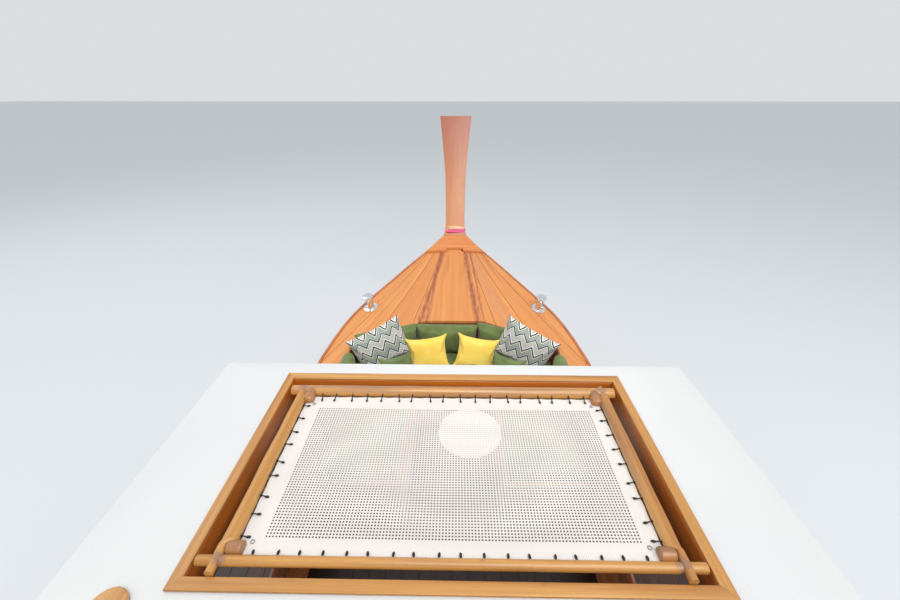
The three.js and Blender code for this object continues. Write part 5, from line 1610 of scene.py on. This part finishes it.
class BOAT_OT_engine_drive(bpy.types.Operator):
    """Clutch housing, grooved pulley with its belt and alternator, and the swivelling cradle"""

    bl_idname = "boat.engine_drive"
    bl_label = "Engine drive"

    def execute(self, context):
        housing = about_shaft("housing", HOUSING_PROFILE, 48)
        parts = [housing]
        for i in range(10):
            turn = math.radians(36 * i + 18)
            across = Vector((0, math.cos(turn), math.sin(turn)))
            spine = [Vector((x, 0, SHAFT)) + across * radius
                     for x, radius in ((-0.156, 0.084), (-0.060, 0.109), (0.040, 0.147))]
            parts.append(swept("rib", spine, 0.006, 8))
            parts.append(bolt(Vector((0.0405, 0, SHAFT)) + across * 0.1535, (-1, 0, 0), 0.007, 0.006))
        on_tail(join("clutch_housing", parts), "alloy", ["bell_housing"])

        pulley = about_shaft("pulley", PULLEY_PROFILE, 48)
        on_tail(join("grooved_pulley", [pulley]), "black", ["front_pulley"])

        centre = Vector((0, 0.190, 0.075))
        alternator = about_shaft("alternator", ALTERNATOR_PROFILE, 32)
        alternator.data.transform(Matrix.Translation(centre - Vector((0, 0, SHAFT))))
        arm = block("arm", (0.690, 0.146, 0.030), (0.706, 0.188, 0.052), 0.003, 2)
        on_tail(join("alternator_body", [alternator, arm]), "alloy")
        belt = []
        far = Vector((centre.y, centre.z - SHAFT))
        lean = math.atan2(far.y, far.x)
        spread = math.acos((0.098 - 0.034) / far.length)
        for middle, radius, first, last, steps in (
                (Vector((0, SHAFT)), 0.098, lean + spread, lean + 2 * math.pi - spread, 36),
                (Vector((centre.y, centre.z)), 0.034, lean - spread, lean + spread, 14)):
            for k in range(steps + 1):
                turn = first + (last - first) * k / steps
                belt.append((0.780, middle.x + radius * math.cos(turn), middle.y + radius * math.sin(turn)))
        on_tail(swept("fan_belt", belt, 0.0045, 8, cyclic=True), "rubber", angle=60)

        cradle = tail_copy("engine_cradle", "cradle_frame", 0.003)
        extra = [bolt((0, side * 0.312, 0), (0, side, 0), 0.017, 0.012) for side in (-1, 1)]
        extra += [bolt((x, side * 0.228, -0.262), (0, 0, -1), 0.008, 0.006)
                  for x in (0.20, 0.64) for side in (-1, 1)]
        on_tail(join("cradle_frame", [cradle, *extra]), "black", ["engine_cradle"])

        yoke = copy_of("pivot_yoke", "swivel_yoke")
        ease(yoke, 0.003, 2, 1.2)
        x0, _, z0 = TRUNNION
        feet = [bolt((x0 + dx, dy, 1.280), (0, 0, 1), 0.012, 0.009) for dx in (-0.115, 0.115)
                for dy in (-0.24, -0.08, 0.08, 0.24)]
        gussets = [block("gusset", (x0 - 0.006, min(s * 0.286, s * 0.240), 1.2795),
                         (x0 + 0.006, max(s * 0.286, s * 0.240), 1.340), 0.002, 1) for s in (-1, 1)]
        dress(join("swivel_yoke", [yoke, *feet, *gussets]), "black", "turntable",
              ["pivot_yoke"], 40)
        return {"FINISHED"}


class BOAT_OT_engine_tail(bpy.types.Operator):
    """Long shaft tube with its collars and fin, the tiller with throttle, and the propeller"""

    bl_idname = "boat.engine_tail"
    bl_label = "Shaft and propeller"

    def execute(self, context):
        inner = 0.0372
        far, near = -4.148, -0.180
        tube = about_shaft("tube", ((inner, far), (0.0440, far), (0.0440, near), (inner, near)), 40)
        open_ends(tube)
        bore = about_shaft("bore", ((inner, far), (inner, near)), 40)
        open_ends(bore)
        edit(bore)
        bpy.ops.mesh.flip_normals()
        object_mode()
        tube = join("tube", [tube, bore])
        edit(tube)
        bpy.ops.mesh.remove_doubles(threshold=0.0001)
        object_mode()
        parts = [tube]
        for x, radius, width in ((-0.196, 0.066, 0.030), (-1.20, 0.051, 0.040), (-2.45, 0.051, 0.040),
                                 (-3.46, 0.050, 0.030), (-4.124, 0.050, 0.044)):
            collar = about_shaft("collar", ((0.0442, x - width / 2), (radius - 0.004, x - width / 2),
                                            (radius, x - width / 2 + 0.004), (radius, x + width / 2 - 0.004),
                                            (radius - 0.004, x + width / 2), (0.0442, x + width / 2)), 40)
            open_ends(collar)
            parts.append(collar)
        for i in range(6):
            turn = math.radians(60 * i)
            place = (-0.211, 0.056 * math.cos(turn), SHAFT + 0.056 * math.sin(turn))
            parts.append(bolt(place, (-1, 0, 0), 0.005, 0.005))
        fin = start("fin", "plane", size=1)
        for vertex, (x, z) in zip(fin.data.vertices, ((-3.500, -0.098), (-4.110, -0.098), (-3.980, -0.330),
                                                      (-4.110, -0.300))):
            vertex.co = (x, -0.0055, z)
        edit(fin)
        bpy.ops.mesh.extrude_region_move(TRANSFORM_OT_translate={"value": (0, 0.011, 0)})
        bpy.ops.mesh.select_all(action="SELECT")
        bpy.ops.mesh.normals_make_consistent(inside=False)
        bpy.ops.mesh.bevel(offset=0.002, segments=2)
        object_mode()
        parts.append(fin)
        on_tail(join("shaft_tube", parts), "steel", ["tail_tube"], angle=35)

        smooth = rounded([Vector(p) / 1000 for p in TILLER_PATH], 12)
        bar = swept("tiller_bar", smooth, 0.0195, 24)
        clamp = block("clamp", (0.655, -0.290, -0.178), (0.735, -0.2625, -0.122), 0.003, 2)
        on_tail(join("tiller_bar", [bar, clamp, bolt((0.675, -0.290, -0.150), (0, -1, 0), 0.008, 0.006),
                                    bolt((0.715, -0.290, -0.150), (0, -1, 0), 0.008, 0.006)]),
                "steel", ["tiller"])
        grip = smooth[-7:]
        radii = [1.0 + 0.08 * (k % 2) for k in range(len(grip))]
        fat = swept("grip", grip, 0.026, 20, radii=radii)
        lifted = [p + Vector((0, 0, 0.030)) for p in smooth[2:-6]]
        run = [(0.690, -0.196, 0.252), (0.745, -0.210, 0.235), (0.800, -0.262, 0.060),
               (0.850, -0.310, -0.090), *lifted[12:]]
        cable = swept("cable", rounded(run, 3), 0.0035, 8)
        lever = block("lever", (1.36, -0.690, -0.118), (1.42, -0.672, -0.108), 0.003, 2)
        ties = []
        for point, after in ((smooth[15], smooth[16]), (smooth[20], smooth[21]), (smooth[25], smooth[26])):
            tie = hoop("tie", 0.0215, 0.003, 24, 6)
            tie.data.transform(facing(point, after - point))
            ties.append(tie)
        on_tail(join("tiller_grip", [fat, cable, lever, *ties]), "rubber", angle=50)

        hub = about_shaft("hub", HUB_PROFILE, 40)
        blades = []
        for i in range(3):
            blade = start("blade", "uv_sphere", segments=28, ring_count=18, radius=1)
            for vertex in blade.data.vertices:
                u, v, w = vertex.co
                reach = 0.099 + 0.079 * w
                skew = 0.012 * (w + 1) ** 2 / 4
                twist = math.radians(46 - 11 * (w + 1))
                chord = 0.060 * u + skew
                camber = 0.006 * (1 - u * u)
                thick = v * (0.0055 - 0.0022 * w) + camber
                along = chord * math.cos(twist) - thick * math.sin(twist)
                across = chord * math.sin(twist) + thick * math.cos(twist)
                vertex.co = (-4.250 + along * 0.9, across, reach)
            turn = 2 * math.pi * i / 3
            blade.data.transform(Matrix.Translation((0, 0, SHAFT)) @ Matrix.Rotation(turn, 4, "X"))
            blades.append(blade)
        on_tail(join("propeller_casting", [hub, *blades]), "bronze", ["propeller"],
                "propeller", 50)
        return {"FINISHED"}


class BOAT_PT_panel(bpy.types.Panel):
    """Lists the boat's operators"""

    bl_label = "Boat"
    bl_idname = "BOAT_PT_panel"
    bl_space_type = "VIEW_3D"
    bl_region_type = "UI"
    bl_category = "Boat"

    def draw(self, context):
        for step in STEPS:
            self.layout.operator(step.bl_idname)
        for group in GROUPS:
            held = getattr(context.scene, group)
            for name in held.__annotations__:
                self.layout.prop(held, name)


STEPS = (BOAT_OT_stage, BOAT_OT_finishes, BOAT_OT_roof, BOAT_OT_coaming, BOAT_OT_net, BOAT_OT_decks,
         BOAT_OT_stem, BOAT_OT_bollards, BOAT_OT_hull, BOAT_OT_inside, BOAT_OT_cushions, BOAT_OT_pillows,
         BOAT_OT_engine_block, BOAT_OT_engine_head, BOAT_OT_engine_drive, BOAT_OT_engine_tail)
GROUPS = {"boat_timber": BoatTimber, "boat_cloth": BoatCloth, "boat_paint": BoatPaint,
          "boat_sizes": BoatSizes}


def register():
    for name, group in GROUPS.items():
        bpy.utils.register_class(group)
        setattr(bpy.types.Scene, name, PointerProperty(type=group))
    for step in STEPS:
        bpy.utils.register_class(step)
    bpy.utils.register_class(BOAT_PT_panel)


def unregister():
    bpy.utils.unregister_class(BOAT_PT_panel)
    for step in reversed(STEPS):
        bpy.utils.unregister_class(step)
    for name, group in GROUPS.items():
        delattr(bpy.types.Scene, name)
        bpy.utils.unregister_class(group)


def main():
    register()
    for step in STEPS:
        family, name = step.bl_idname.split(".")
        getattr(getattr(bpy.ops, family), name)()


if __name__ == "__main__":
    main()
